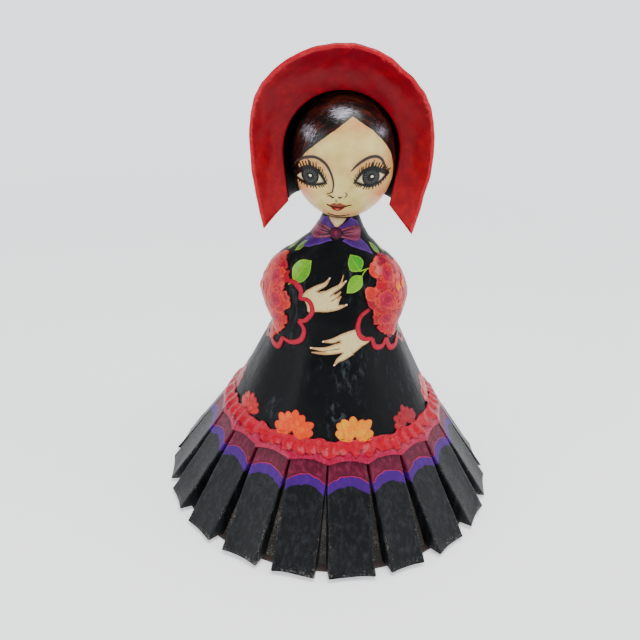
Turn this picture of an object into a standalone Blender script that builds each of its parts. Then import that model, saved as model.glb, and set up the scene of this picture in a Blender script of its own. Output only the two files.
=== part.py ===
"""A papier-mache lady in a bonnet and a pleated skirt, hollow, standing on a card disc.

Metres, +Z up. The origin is on the floor, under the middle of the figure, and the figure faces -Y.
"""

import math

import bmesh
import bpy
from mathutils import Matrix

# Clearances between glued pieces
seat_gap = 0.0003
slit_gap = 0.0008

# Body: a bell of papier-mache from the foot to the neck
body_height = 0.2365
body_foot_radius = 0.130
neck_radius = 0.014
bell_power = 1.18
body_wall = 0.003
neck_pulp_depth = 0.034
body_levels = 13
body_steps = 48

# Card disc under the body
base_overhang = 0.0006
base_thickness = 0.0025

# Puffed sleeves: egg-shaped pads glued to the sides of the body
sleeve_centre_drop = 0.0550
sleeve_half_length = 0.0380
sleeve_half_swell = 0.0240
sleeve_half_depth = 0.0365
sleeve_lean = math.radians(16)

# Folded card pleats round the skirt
pleat_count = 20
pleat_first_angle = math.radians(7.5)
pleat_top_height = 0.078
pleat_hem_lift = 0.0042
pleat_stand_off = 0.0120
pleat_card = 0.0014
pleat_slant = 1.3
pleat_hem_shares = (0.78, 0.64, 0.68, 0.70, 0.73)
pleat_mid_drop = 0.3
pleat_mid_flare = 0.6

# Scalloped paper band over the tops of the pleats
band_top_height = 0.0850
band_bottom_height = 0.0705
band_thickness = 0.0016
band_wave_height = 0.0016
band_waves = 22
band_steps = 88

# Head: an egg, hollow, resting on the rim of the neck
head_half_width = 0.039
head_above = 0.046
head_below = 0.045
head_wall = 0.003
head_levels = 9
head_steps = 32

# Reed that pins the head to the neck
reed_radius = 0.004
reed_in_body = 0.055
reed_top_room = 0.0015

# Bonnet crown: a hood round the back of the head
crown_side_room = 0.005
crown_top_room = 0.0035
crown_back_room = 0.0010
crown_front = -0.0037
crown_drop = 0.040
crown_taper = 0.005
crown_wall = 0.003

# Bonnet brim: a flared horseshoe glued to the front of the crown
brim_top_width = 0.028
brim_side_width = 0.0215
brim_widest_above = 0.016
brim_tip_drop = 0.058
brim_tip_tuck = 0.010
brim_top_flare = 0.018
brim_tip_flare = 0.011
brim_thickness = 0.0035

head_centre = body_height + seat_gap + head_below * math.sqrt(1 - (neck_radius / head_half_width) ** 2)
crown_radius = head_half_width + crown_side_room
crown_centre = head_centre + head_above + crown_top_room - crown_radius


def head_underside(radius):
    """Height of the head's lower surface at a distance from the axis."""
    return head_centre - head_below * math.sqrt(1 - (radius / head_half_width) ** 2)


def body_radius(height):
    """Radius of the body's outer surface at a height above the floor."""
    rise = min(max(height / body_height, 0), 1)
    return neck_radius + (body_foot_radius - neck_radius) * (1 - rise) ** bell_power


def start_scene():
    for old in list(bpy.data.objects):
        bpy.data.objects.remove(old)
    for name in ("bonnet_lady", "cutters"):
        collection = bpy.data.collections.new(name)
        bpy.context.scene.collection.children.link(collection)


def paint(name, colour, roughness):
    material = bpy.data.materials.new(name)
    material.use_nodes = True
    shader = material.node_tree.nodes["Principled BSDF"]
    shader.inputs["Base Color"].default_value = (*colour, 1)
    shader.inputs["Roughness"].default_value = roughness
    shader.inputs["Metallic"].default_value = 0
    return material


def add_object(name, mesh, material=None, collection="bonnet_lady"):
    obj = bpy.data.objects.new(name, mesh)
    bpy.data.collections[collection].objects.link(obj)
    if material:
        mesh.materials.append(material)
    if collection == "cutters":
        obj.hide_render = True
        obj.display_type = "WIRE"
    return obj


def turned(name, profile, steps, material=None, collection="bonnet_lady"):
    """A closed outline of (radius, height) points, outer side first and running down, turned about Z."""
    mesh = bpy.data.meshes.new(name)
    count = len(profile)
    edges = [(i, (i + 1) % count) for i in range(count)]
    mesh.from_pydata([(radius, 0, height) for radius, height in profile], edges, [])
    obj = add_object(name, mesh, material, collection)
    screw = obj.modifiers.new("turn", "SCREW")
    screw.steps = steps
    screw.render_steps = steps
    screw.use_merge_vertices = True
    screw.merge_threshold = 0.00001
    screw.use_smooth_shade = True
    return obj


def cylinder(name, radius, bottom, top, sides, material):
    shape = bmesh.new()
    bmesh.ops.create_cone(
        shape, cap_ends=True, segments=sides, radius1=radius, radius2=radius, depth=top - bottom
    )
    mesh = bpy.data.meshes.new(name)
    shape.to_mesh(mesh)
    shape.free()
    obj = add_object(name, mesh, material)
    obj.location.z = (bottom + top) / 2
    return obj


def sheet(name, columns, rows, place, thickness, material):
    """A grid bent to shape by place(across, along), both from 0 to 1, and thickened behind.

    Its front is the side from which across runs right and along runs up.
    """
    shape = bmesh.new()
    bmesh.ops.create_grid(shape, x_segments=columns, y_segments=rows, size=0.5)
    for vertex in shape.verts:
        vertex.co = place(vertex.co.x + 0.5, vertex.co.y + 0.5)
    bmesh.ops.remove_doubles(shape, verts=shape.verts, dist=0.00001)
    mesh = bpy.data.meshes.new(name)
    shape.to_mesh(mesh)
    shape.free()
    obj = add_object(name, mesh, material)
    solidify = obj.modifiers.new("thickness", "SOLIDIFY")
    solidify.thickness = thickness
    solidify.offset = -1
    solidify.use_even_offset = True
    return obj


def cut_with(obj, cutter):
    cut = obj.modifiers.new("cut_" + cutter.name, "BOOLEAN")
    cut.operation = "DIFFERENCE"
    cut.object = cutter


def body_outline(swell=0.0, foot=0.0, top=None):
    """The body's outer side from the neck down to the foot, moved out by swell."""
    top = body_height if top is None else top
    heights = [foot + (top - foot) * i / (body_levels - 1) for i in range(body_levels)]
    return [(body_radius(height) + swell, height) for height in reversed(heights)]


def make_body(material):
    """Hollow below, solid pulp in the neck, and a dish on top that the head sits in."""
    foot = base_thickness + seat_gap
    roof = body_height - neck_pulp_depth
    hole = reed_radius + seat_gap
    outer = body_outline(foot=foot)
    inner = body_outline(swell=-body_wall, foot=foot, top=roof)
    dish = [hole + (neck_radius - hole) * i / 3 for i in range(3)]
    dish = [(radius, head_underside(radius) - seat_gap) for radius in dish]
    turned("body_shell", outer + inner[::-1] + [(hole, roof)] + dish, body_steps, material)


def make_base(material):
    cylinder("base_disc", body_foot_radius + base_overhang, 0, base_thickness, body_steps, material)


def make_sleeves(material):
    """Each pad is an egg leaning in over the body, cut away where the body is."""
    outline = body_outline(swell=seat_gap, foot=-0.001, top=body_height)
    profile = [(0, body_height + 0.02), (outline[0][0], body_height + 0.02)] + outline + [(0, outline[-1][1])]
    cutter = turned("body_cutter", profile, body_steps, collection="cutters")
    for side, name in ((1, "sleeve_left"), (-1, "sleeve_right")):
        shape = bmesh.new()
        bmesh.ops.create_uvsphere(shape, u_segments=28, v_segments=16, radius=1)
        size = Matrix.Diagonal((sleeve_half_swell, sleeve_half_depth, sleeve_half_length, 1))
        lean = Matrix.Rotation(-side * sleeve_lean, 4, "Y")
        bmesh.ops.transform(shape, matrix=lean @ size, verts=shape.verts)
        mesh = bpy.data.meshes.new(name)
        shape.to_mesh(mesh)
        shape.free()
        mesh.shade_smooth()
        pad = add_object(name, mesh, material)
        height = body_height - sleeve_centre_drop
        pad.location = (side * body_radius(height), 0, height)
        cut_with(pad, cutter)


def pleat_station(along, hem_share):
    """(outer radius, height, width) of a pleat's face at a share of the way from its top to its hem."""
    foot_radius = body_radius(pleat_top_height) + seat_gap
    top_radius = foot_radius + pleat_card * pleat_slant
    hem_radius = body_radius(0) + pleat_stand_off
    radius = top_radius + (hem_radius - top_radius) * along
    height = pleat_top_height + (pleat_hem_lift - pleat_top_height) * along
    half_pitch = math.tan(math.pi / pleat_count)
    top_width = 2 * foot_radius * half_pitch - slit_gap
    hem_width = 2 * hem_radius * half_pitch * hem_share
    flare = along / pleat_mid_drop * pleat_mid_flare
    if along > pleat_mid_drop:
        flare = pleat_mid_flare + (along - pleat_mid_drop) / (1 - pleat_mid_drop) * (1 - pleat_mid_flare)
    return radius, height, top_width + (hem_width - top_width) * flare


def make_pleats(material):
    """Channels of folded card: a flat face and two sides that turn in to the body."""
    for number in range(pleat_count):
        share = pleat_hem_shares[number % len(pleat_hem_shares)]
        angle = pleat_first_angle + 2 * math.pi * number / pleat_count

        def place(across, along, share=share):
            radius, height, width = pleat_station((1, pleat_mid_drop, 0)[round(along * 2)], share)
            column = round(across * 3)
            side = -1 if column < 2 else 1
            out = radius
            if column in (0, 3):
                body = body_radius(height) + seat_gap
                out = math.sqrt(body**2 - (width / 2 - pleat_card) ** 2) + 0.0001
                out = min(out, radius - pleat_card)
            return side * width / 2, -out, height

        name = f"pleat_{number + 1:02d}"
        pleat = sheet(name, 3, 2, place, pleat_card, material)
        pleat.rotation_euler.z = angle


def make_band(material):
    """A strip that hugs the body at its scalloped top and laps over the pleats below."""
    lap_along = (pleat_top_height - band_bottom_height) / (pleat_top_height - pleat_hem_lift)
    face, height, width = pleat_station(lap_along, max(pleat_hem_shares))
    low = math.hypot(face, width / 2) + seat_gap
    face, _, width = pleat_station(0, 1)
    shoulder = math.hypot(face, width / 2) + seat_gap
    top = body_radius(band_top_height) + seat_gap
    inner = [(low, height), (shoulder, pleat_top_height + seat_gap), (top, band_top_height)]
    outer = [(radius + band_thickness, height) for radius, height in inner]
    outer[0] = (outer[0][0] - band_thickness / 2, height)
    band = turned("hem_band", outer[::-1] + inner, band_steps, material)
    mesh = bpy.data.meshes.new_from_object(band.evaluated_get(bpy.context.evaluated_depsgraph_get()))
    slope = (body_radius(band_top_height) - body_radius(band_top_height + band_wave_height)) / band_wave_height
    for vertex in mesh.vertices:
        if vertex.co.z > band_top_height - 0.0001:
            turn = math.atan2(vertex.co.y, vertex.co.x)
            rise = band_wave_height * math.cos(band_waves * turn)
            radius = vertex.co.xy.length
            vertex.co.xy *= (radius - slope * rise) / radius
            vertex.co.z += rise
    bpy.data.objects.remove(band)
    add_object("hem_band", mesh)


def egg_outline(wall):
    """The head's outline from the crown down to the hole for the reed, set in by wall."""
    half_width, above, below = head_half_width - wall, head_above - wall, head_below - wall
    last = math.pi - math.asin((reed_radius + seat_gap) / half_width)
    points = [(0, head_centre + above)]
    for i in range(1, 2 * head_levels):
        turn = last * i / (2 * head_levels - 1)
        rise = above if turn < math.pi / 2 else below
        points.append((half_width * math.sin(turn), head_centre + rise * math.cos(turn)))
    return points


def make_head(material):
    turned("head_shell", egg_outline(0) + egg_outline(head_wall)[::-1], head_steps, material)


def make_reed(material):
    top = head_centre + head_above - head_wall - reed_top_room
    cylinder("neck_reed", reed_radius, body_height - reed_in_body, top, 16, material)


def crown_place(across, along):
    """The inner side: round the back of the head, and from the nape up to the top."""
    bottom = crown_centre - crown_drop
    height = bottom + (crown_centre + crown_radius - bottom) * math.sin(along * math.pi / 2)
    over = max(0, height - crown_centre) / crown_radius
    shrink = math.sqrt(max(0, 1 - over**2))
    tuck = crown_taper * (max(0, crown_centre - height) / crown_drop) ** 2
    turn = math.pi * across
    depth = head_half_width + crown_back_room - crown_front
    return (
        -(crown_radius - tuck) * shrink * math.cos(turn),
        crown_front + depth * shrink * math.sin(turn),
        height,
    )


def make_crown(material):
    sheet("bonnet_crown", 16, 10, crown_place, crown_wall, material)


def half_brim(along):
    """(inner x, inner z, outer x, outer z, flare) from the top of the brim to its tip."""
    arc_share = 0.64
    side = crown_radius + brim_side_width
    widest = crown_centre + brim_widest_above
    top = crown_centre + crown_radius + brim_top_width
    if along < arc_share:
        turn = math.pi / 2 * along / arc_share
        inner = (crown_radius * math.sin(turn), crown_centre + crown_radius * math.cos(turn))
        outer = (side * math.sin(turn), widest + (top - widest) * math.cos(turn))
    else:
        down = (along - arc_share) / (1 - arc_share)
        inner = (crown_radius - crown_taper * down**2, crown_centre - crown_drop * down)
        outer = (side - brim_tip_tuck * down**2, widest - (widest - crown_centre + brim_tip_drop) * down)
    flare = brim_top_flare + (brim_tip_flare - brim_top_flare) * along
    return inner, outer, flare


def brim_place(across, along):
    """Ruled from the crown's front rim out to the brim's edge, and round from tip to tip."""
    side = 1 if along > 0.5 else -1
    inner, outer, flare = half_brim(abs(2 * along - 1))
    x = inner[0] + (outer[0] - inner[0]) * across
    z = inner[1] + (outer[1] - inner[1]) * across
    return side * x, crown_front - seat_gap - flare * across, z


def make_brim(material):
    brim = sheet("bonnet_brim", 2, 44, brim_place, brim_thickness, material)
    soften = brim.modifiers.new("soft edges", "BEVEL")
    soften.width = 0.001
    soften.segments = 1


def main():
    start_scene()
    black = paint("black varnish", (0.012, 0.013, 0.014), 0.3)
    card = paint("bare card", (0.16, 0.10, 0.07), 0.85)
    red = paint("bonnet red", (0.55, 0.01, 0.02), 0.4)
    skin = paint("face cream", (0.72, 0.66, 0.50), 0.4)
    reed = paint("reed", (0.55, 0.42, 0.22), 0.7)
    trim = paint("hem red", (0.65, 0.02, 0.04), 0.4)
    make_body(black)
    make_base(card)
    make_sleeves(black)
    make_pleats(black)
    make_band(trim)
    make_head(skin)
    make_reed(reed)
    make_crown(red)
    make_brim(red)


main()
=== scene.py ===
import math
import random

import bmesh
import bpy
import numpy as np
from mathutils import Matrix, Vector, noise
from mathutils.bvhtree import BVHTree
from mathutils.geometry import delaunay_2d_cdt


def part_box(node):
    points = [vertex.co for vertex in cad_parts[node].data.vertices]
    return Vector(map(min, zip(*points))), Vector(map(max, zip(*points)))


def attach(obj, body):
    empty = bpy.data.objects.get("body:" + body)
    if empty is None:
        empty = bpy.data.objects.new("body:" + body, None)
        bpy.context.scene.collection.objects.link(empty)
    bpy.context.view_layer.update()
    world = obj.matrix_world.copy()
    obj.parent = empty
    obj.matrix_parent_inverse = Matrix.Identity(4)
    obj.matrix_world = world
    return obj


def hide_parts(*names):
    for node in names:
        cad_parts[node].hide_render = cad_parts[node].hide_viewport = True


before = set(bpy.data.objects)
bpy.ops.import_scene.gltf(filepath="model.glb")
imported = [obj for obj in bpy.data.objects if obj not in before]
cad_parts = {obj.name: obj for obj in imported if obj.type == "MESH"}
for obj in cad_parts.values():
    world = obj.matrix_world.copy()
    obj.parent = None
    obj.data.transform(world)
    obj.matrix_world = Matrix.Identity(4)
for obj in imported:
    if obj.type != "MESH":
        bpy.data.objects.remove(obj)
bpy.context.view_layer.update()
print("frame loaded")


# mesh helpers

def newPiece(name, verts, faces, sharpAngle=50):
    mesh = bpy.data.meshes.new(name)
    mesh.from_pydata([tuple(v) for v in verts], [], faces)
    mesh.update()
    mesh.shade_smooth()
    mesh.set_sharp_from_angle(angle=math.radians(sharpAngle))
    piece = bpy.data.objects.new(name, mesh)
    bpy.context.scene.collection.objects.link(piece)
    return piece


def giveValues(piece, name, values):
    values = np.asarray(values, dtype=np.float32)
    kind = "FLOAT" if values.ndim == 1 else "FLOAT_COLOR" if values.shape[1] == 4 else "FLOAT_VECTOR"
    layer = piece.data.attributes.new(name, kind, "POINT")
    field = {"FLOAT": "value", "FLOAT_COLOR": "color", "FLOAT_VECTOR": "vector"}[kind]
    layer.data.foreach_set(field, values.ravel())


def gridFaces(rows, columns, wrap=False, start=0):
    # row by row, first row at the top; faces point out when columns run anticlockwise
    faces = []
    for row in range(rows - 1):
        for column in range(columns if wrap else columns - 1):
            right = (column + 1) % columns
            a, b = start + row * columns + column, start + row * columns + right
            faces.append((a, a + columns, b + columns, b))
    return faces


def bakedPiece(piece, name):
    # the evaluated mesh as a new plain object, without modifiers
    graph = bpy.context.evaluated_depsgraph_get()
    graph.update()
    mesh = bpy.data.meshes.new_from_object(piece.evaluated_get(graph), depsgraph=graph)
    bpy.data.objects.remove(piece)
    mesh.name = name
    plain = bpy.data.objects.new(name, mesh)
    bpy.context.scene.collection.objects.link(plain)
    return plain


def finishPiece(piece, material, replaced=()):
    if material:
        piece.data.materials.clear()
        piece.data.materials.append(material)
    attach(piece, "root")
    if replaced:
        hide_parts(*replaced)
    return piece


def lumps(points, size, height, seed):
    # slow hills and hollows, like layers of paper pressed on by hand
    shift = Vector((seed * 3.7, seed * 1.3, seed * 2.1))
    return np.array([height * noise.noise(Vector(p) / size + shift) for p in points])


def smoothMax(a, b, width):
    near = np.maximum(width - np.abs(a - b), 0) / width
    return np.maximum(a, b) + near * near * width / 4


# shader groups shared by the paints

def groupSockets(tree, inputs, outputs):
    for name, kind, value in inputs:
        socket = tree.interface.new_socket(name, in_out="INPUT", socket_type=kind)
        if value is not None:
            socket.default_value = value
    for name, kind in outputs:
        tree.interface.new_socket(name, in_out="OUTPUT", socket_type=kind)
    return tree.nodes.new("NodeGroupInput"), tree.nodes.new("NodeGroupOutput")


def addNode(tree, kind, values=None, **settings):
    node = tree.nodes.new(kind)
    for key, value in settings.items():
        setattr(node, key, value)
    for key, value in (values or {}).items():
        node.inputs[key].default_value = value
    return node


def wire(tree, *pairs):
    for source, target in pairs:
        tree.links.new(source, target)


def brushGroup():
    # long strokes along one direction: a factor for colour and a height for bump
    tree = bpy.data.node_groups.new("brushStrokes", "ShaderNodeTree")
    inside, outside = groupSockets(tree, [
        ("Vector", "NodeSocketVector", None), ("Scale", "NodeSocketFloat", 1.0),
        ("Stretch", "NodeSocketVector", (1.0, 1.0, 0.1)), ("Contrast", "NodeSocketFloat", 0.5),
    ], [("Factor", "NodeSocketFloat"), ("Height", "NodeSocketFloat")])
    stretch = addNode(tree, "ShaderNodeVectorMath", operation="MULTIPLY")
    fine = addNode(tree, "ShaderNodeTexNoise", {"Detail": 4.0, "Roughness": 0.65, "Distortion": 0.3})
    ramp = addNode(tree, "ShaderNodeMapRange", {"From Min": 0.5, "From Max": 0.5})
    low = addNode(tree, "ShaderNodeMath", operation="MULTIPLY_ADD")
    high = addNode(tree, "ShaderNodeMath", operation="MULTIPLY_ADD")
    low.inputs[1].default_value, low.inputs[2].default_value = 0.25, 0.36
    high.inputs[1].default_value, high.inputs[2].default_value = -0.2, 0.80
    wire(tree,
         (inside.outputs["Vector"], stretch.inputs[0]), (inside.outputs["Stretch"], stretch.inputs[1]),
         (stretch.outputs[0], fine.inputs["Vector"]), (inside.outputs["Scale"], fine.inputs["Scale"]),
         (fine.outputs["Fac"], ramp.inputs["Value"]),
         (inside.outputs["Contrast"], low.inputs[0]), (inside.outputs["Contrast"], high.inputs[0]),
         (low.outputs[0], ramp.inputs["From Min"]), (high.outputs[0], ramp.inputs["From Max"]),
         (ramp.outputs[0], outside.inputs["Factor"]), (fine.outputs["Fac"], outside.inputs["Height"]))
    return tree


def varnishGroup():
    # hand-laid paper under varnish: broad dents, fine grain and brush ridges in one normal
    tree = bpy.data.node_groups.new("paperVarnish", "ShaderNodeTree")
    inside, outside = groupSockets(tree, [
        ("Vector", "NodeSocketVector", None), ("Strokes", "NodeSocketFloat", 0.5),
        ("Dents", "NodeSocketFloat", 1.0), ("Ridges", "NodeSocketFloat", 1.0),
    ], [("Normal", "NodeSocketVector"), ("Gloss", "NodeSocketFloat")])
    dents = addNode(tree, "ShaderNodeTexNoise", {"Scale": 90.0, "Detail": 2.0, "Roughness": 0.5})
    grain = addNode(tree, "ShaderNodeTexNoise", {"Scale": 900.0, "Detail": 3.0, "Roughness": 0.6})
    dentHeight = addNode(tree, "ShaderNodeMath", operation="MULTIPLY")
    ridgeHeight = addNode(tree, "ShaderNodeMath", operation="MULTIPLY")
    grainScale = addNode(tree, "ShaderNodeMath", operation="MULTIPLY_ADD")
    grainScale.inputs[1].default_value = 0.12
    total = addNode(tree, "ShaderNodeMath", operation="ADD")
    bump = addNode(tree, "ShaderNodeBump", {"Strength": 0.5, "Distance": 0.0006})
    wire(tree,
         (inside.outputs["Vector"], dents.inputs["Vector"]),
         (inside.outputs["Vector"], grain.inputs["Vector"]),
         (dents.outputs["Fac"], dentHeight.inputs[0]),
         (inside.outputs["Dents"], dentHeight.inputs[1]),
         (inside.outputs["Strokes"], ridgeHeight.inputs[0]),
         (inside.outputs["Ridges"], ridgeHeight.inputs[1]),
         (grain.outputs["Fac"], grainScale.inputs[0]), (dentHeight.outputs[0], grainScale.inputs[2]),
         (grainScale.outputs[0], total.inputs[0]), (ridgeHeight.outputs[0], total.inputs[1]),
         (total.outputs[0], bump.inputs["Height"]),
         (bump.outputs["Normal"], outside.inputs["Normal"]), (grain.outputs["Fac"], outside.inputs["Gloss"]))
    return tree


def wearGroup():
    # pale specks where paint has come off, thickest where Edge is 1
    tree = bpy.data.node_groups.new("chippedPaint", "ShaderNodeTree")
    inside, outside = groupSockets(tree, [
        ("Vector", "NodeSocketVector", None), ("Edge", "NodeSocketFloat", 0.0),
        ("Amount", "NodeSocketFloat", 0.5), ("Scale", "NodeSocketFloat", 400.0),
    ], [("Mask", "NodeSocketFloat")])
    specks = addNode(tree, "ShaderNodeTexNoise", {"Detail": 5.0, "Roughness": 0.7})
    patches = addNode(tree, "ShaderNodeTexNoise", {"Scale": 60.0, "Detail": 1.0})
    product = addNode(tree, "ShaderNodeMath", operation="MULTIPLY")
    weight = addNode(tree, "ShaderNodeMath", operation="MULTIPLY")
    raised = addNode(tree, "ShaderNodeMath", operation="MULTIPLY_ADD")
    raised.inputs[1].default_value = 0.42
    ramp = addNode(tree, "ShaderNodeMapRange", {"From Min": 0.70, "From Max": 0.75})
    wire(tree,
         (inside.outputs["Vector"], specks.inputs["Vector"]),
         (inside.outputs["Scale"], specks.inputs["Scale"]),
         (inside.outputs["Vector"], patches.inputs["Vector"]),
         (inside.outputs["Edge"], product.inputs[0]), (patches.outputs["Fac"], product.inputs[1]),
         (product.outputs[0], weight.inputs[0]), (inside.outputs["Amount"], weight.inputs[1]),
         (weight.outputs[0], raised.inputs[0]), (specks.outputs["Fac"], raised.inputs[2]),
         (raised.outputs[0], ramp.inputs["Value"]), (ramp.outputs[0], outside.inputs["Mask"]))
    return tree


brushStrokes = brushGroup()
paperVarnish = varnishGroup()
chippedPaint = wearGroup()


# materials

def startMaterial(name, roughness, coat=0.0, sheen=0.3):
    material = bpy.data.materials.new(name)
    material.use_nodes = True
    tree = material.node_tree
    shader = tree.nodes["Principled BSDF"]
    shader.inputs["Roughness"].default_value = roughness
    shader.inputs["Specular IOR Level"].default_value = sheen
    shader.inputs["Coat Weight"].default_value = coat
    shader.inputs["Coat Roughness"].default_value = 0.12
    place = addNode(tree, "ShaderNodeTexCoord").outputs["Object"]
    return material, tree, shader, place


def groupNode(tree, group, place, **values):
    node = addNode(tree, "ShaderNodeGroup", node_tree=group)
    for key, value in values.items():
        node.inputs[key].default_value = value
    wire(tree, (place, node.inputs["Vector"]))
    return node


def valueOf(tree, name, output="Fac"):
    return addNode(tree, "ShaderNodeAttribute", attribute_name=name).outputs[output]


def mixColours(tree, factor, first, second):
    node = addNode(tree, "ShaderNodeMix", data_type="RGBA")
    for socket, value in ((node.inputs[0], factor), (node.inputs[6], first), (node.inputs[7], second)):
        if isinstance(value, bpy.types.NodeSocket):
            wire(tree, (value, socket))
        else:
            socket.default_value = value if isinstance(value, float) else (*value, 1)
    return node.outputs[2]


def stepAt(tree, value, threshold, softness):
    node = addNode(tree, "ShaderNodeMapRange",
                   {"From Min": threshold - softness, "From Max": threshold + softness})
    wire(tree, (value, node.inputs["Value"]))
    return node.outputs[0]


def addTo(tree, value, other, scale):
    # value + other * scale
    node = addNode(tree, "ShaderNodeMath", operation="MULTIPLY_ADD")
    node.inputs[1].default_value = scale
    wire(tree, (other, node.inputs[0]), (value, node.inputs[2]))
    return node.outputs[0]


def noiseAt(tree, place, scale, detail=2.0):
    node = addNode(tree, "ShaderNodeTexNoise", {"Scale": scale, "Detail": detail})
    wire(tree, (place, node.inputs["Vector"]))
    return node.outputs["Fac"]


def varnish(tree, shader, place, strokes, dents=1.0, ridges=0.35):
    coat = groupNode(tree, paperVarnish, place, Dents=dents, Ridges=ridges)
    wire(tree, (strokes, coat.inputs["Strokes"]), (coat.outputs["Normal"], shader.inputs["Normal"]))
    return coat


def glossSpread(tree, shader, value, low, high):
    ramp = addNode(tree, "ShaderNodeMapRange",
                   {"From Min": 0.3, "From Max": 0.7, "To Min": low, "To Max": high})
    wire(tree, (value, ramp.inputs["Value"]), (ramp.outputs[0], shader.inputs["Roughness"]))


colours = dict(
    black=(0.0018, 0.0021, 0.0027), slate=(0.028, 0.036, 0.041), bareGround=(0.030, 0.028, 0.025),
    dust=(0.115, 0.105, 0.090),
    red=(0.30, 0.0004, 0.013), hotRed=(0.40, 0.0012, 0.014), crimson=(0.105, 0.0003, 0.004),
    rose=(0.24, 0.001, 0.026), roseLight=(0.34, 0.008, 0.050),
    plum=(0.060, 0.0015, 0.012), plumLight=(0.16, 0.008, 0.038),
    purple=(0.032, 0.0004, 0.105), purpleLight=(0.048, 0.0014, 0.150), coral=(0.52, 0.017, 0.006),
    pink=(0.60, 0.070, 0.045), orange=(0.60, 0.062, 0.0001), yellow=(0.56, 0.255, 0.0001),
    leafDeep=(0.010, 0.24, 0.016), leafPale=(0.22, 0.42, 0.014), layerShadow=(0.075, 0.0003, 0.004),
    ivoryDark=(0.41, 0.325, 0.092), ivoryLight=(0.58, 0.470, 0.172), tan=(0.46, 0.22, 0.075),
    blush=(0.56, 0.13, 0.07), ink=(0.003, 0.0025, 0.0025),
    hair=(0.0022, 0.0014, 0.0012), hairRed=(0.075, 0.0110, 0.003), highlightGrey=(0.30, 0.295, 0.35),
)


def dressPaint():
    # black varnish with slate strokes running up the bell, dusty where the pleats leave the ground open
    material, tree, shader, place = startMaterial("dressVarnish", 0.3, 0.03, 0.07)
    strokes = groupNode(tree, brushStrokes, place, Scale=260.0, Stretch=(1.0, 1.0, 0.09), Contrast=0.55)
    broad = groupNode(tree, brushStrokes, place, Scale=48.0, Stretch=(1.0, 1.0, 0.12), Contrast=0.6)
    black = mixColours(tree, strokes.outputs["Factor"], colours["black"], colours["slate"])
    deep = mixColours(tree, broad.outputs["Factor"], colours["black"], black)
    ground = stepAt(tree, addTo(tree, valueOf(tree, "ground"), noiseAt(tree, place, 300.0), 0.3), 0.62, 0.1)
    grit = groupNode(tree, chippedPaint, place, Amount=0.75, Scale=1100.0)
    wire(tree, (valueOf(tree, "ground"), grit.inputs["Edge"]))
    dusty = mixColours(tree, grit.outputs["Mask"], colours["bareGround"], colours["dust"])
    wire(tree, (mixColours(tree, ground, deep, dusty), shader.inputs["Base Color"]))
    coat = varnish(tree, shader, place, strokes.outputs["Height"], 1.9, 0.7)
    rough = addNode(tree, "ShaderNodeMath", operation="MULTIPLY_ADD")
    rough.inputs[1].default_value, rough.inputs[2].default_value = 0.4, 0.2
    mixRough = addNode(tree, "ShaderNodeMath", operation="MAXIMUM")
    wire(tree, (coat.outputs["Gloss"], rough.inputs[0]), (rough.outputs[0], mixRough.inputs[0]),
         (stepAt(tree, valueOf(tree, "ground"), 0.5, 0.2), mixRough.inputs[1]),
         (mixRough.outputs[0], shader.inputs["Roughness"]))
    return material


def pleatPaint():
    # plum and purple bands over black card; the level is the height above the floor bent by the scallops
    material, tree, shader, place = startMaterial("pleatVarnish", 0.35, 0.04, 0.15)
    strokes = groupNode(tree, brushStrokes, place, Scale=300.0, Stretch=(1.0, 1.0, 0.10), Contrast=0.4)
    level = addTo(tree, valueOf(tree, "level"), noiseAt(tree, place, 160.0, 3.0), 0.0036)
    black = mixColours(tree, strokes.outputs["Factor"], colours["black"], (0.012, 0.0145, 0.017))
    purple = mixColours(tree, strokes.outputs["Factor"], colours["purple"], colours["purpleLight"])
    plum = mixColours(tree, strokes.outputs["Factor"], colours["plum"], colours["plumLight"])
    banded = mixColours(tree, stepAt(tree, level, pleats["purpleLow"], 0.00035), black, purple)
    line = mixColours(tree, stepAt(tree, level, pleats["plumLow"] - 0.0004, 0.0002), banded,
                      colours["roseLight"])
    shade = mixColours(tree, stepAt(tree, level, pleats["plumLow"], 0.0002), line, colours["plum"])
    banded = mixColours(tree, stepAt(tree, level, pleats["plumLow"] + 0.0010, 0.0006), shade, plum)
    chips = groupNode(tree, chippedPaint, place, Amount=0.72, Scale=620.0)
    wire(tree, (valueOf(tree, "edge"), chips.inputs["Edge"]))
    worn = mixColours(tree, chips.outputs["Mask"], banded, (0.085, 0.078, 0.070))
    wire(tree, (worn, shader.inputs["Base Color"]))
    coat = varnish(tree, shader, place, strokes.outputs["Height"], 0.9, 0.45)
    glossSpread(tree, shader, coat.outputs["Gloss"], 0.36, 0.6)
    return material


def bandPaint():
    # red above rose, the border between them and both edges waving
    material, tree, shader, place = startMaterial("hemVarnish", 0.3, 0.05, 0.15)
    strokes = groupNode(tree, brushStrokes, place, Scale=420.0, Stretch=(1.0, 1.0, 0.22), Contrast=0.3)
    level = addTo(tree, valueOf(tree, "level"), noiseAt(tree, place, 190.0, 3.0), 0.0075)
    red = mixColours(tree, strokes.outputs["Factor"], colours["red"], colours["hotRed"])
    rose = mixColours(tree, strokes.outputs["Factor"], colours["rose"], colours["roseLight"])
    plum = mixColours(tree, strokes.outputs["Factor"], colours["plum"], colours["plumLight"])
    banded = mixColours(tree, stepAt(tree, level, hem["roseLow"], 0.0003), plum, rose)
    # a thin dark crimson line just under the red: painted shadow between the red and the rose
    banded = mixColours(tree, stepAt(tree, level, hem["redLow"] - 0.0007, 0.0004), banded, colours["layerShadow"])
    banded = mixColours(tree, stepAt(tree, level, hem["redLow"], 0.0003), banded, red)
    banded = mixColours(tree, stepAt(tree, level, hem["blackLow"], 0.0003), banded, colours["black"])
    wire(tree, (banded, shader.inputs["Base Color"]))
    coat = varnish(tree, shader, place, strokes.outputs["Height"], 1.3, 0.4)
    glossSpread(tree, shader, coat.outputs["Gloss"], 0.2, 0.42)
    return material


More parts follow.
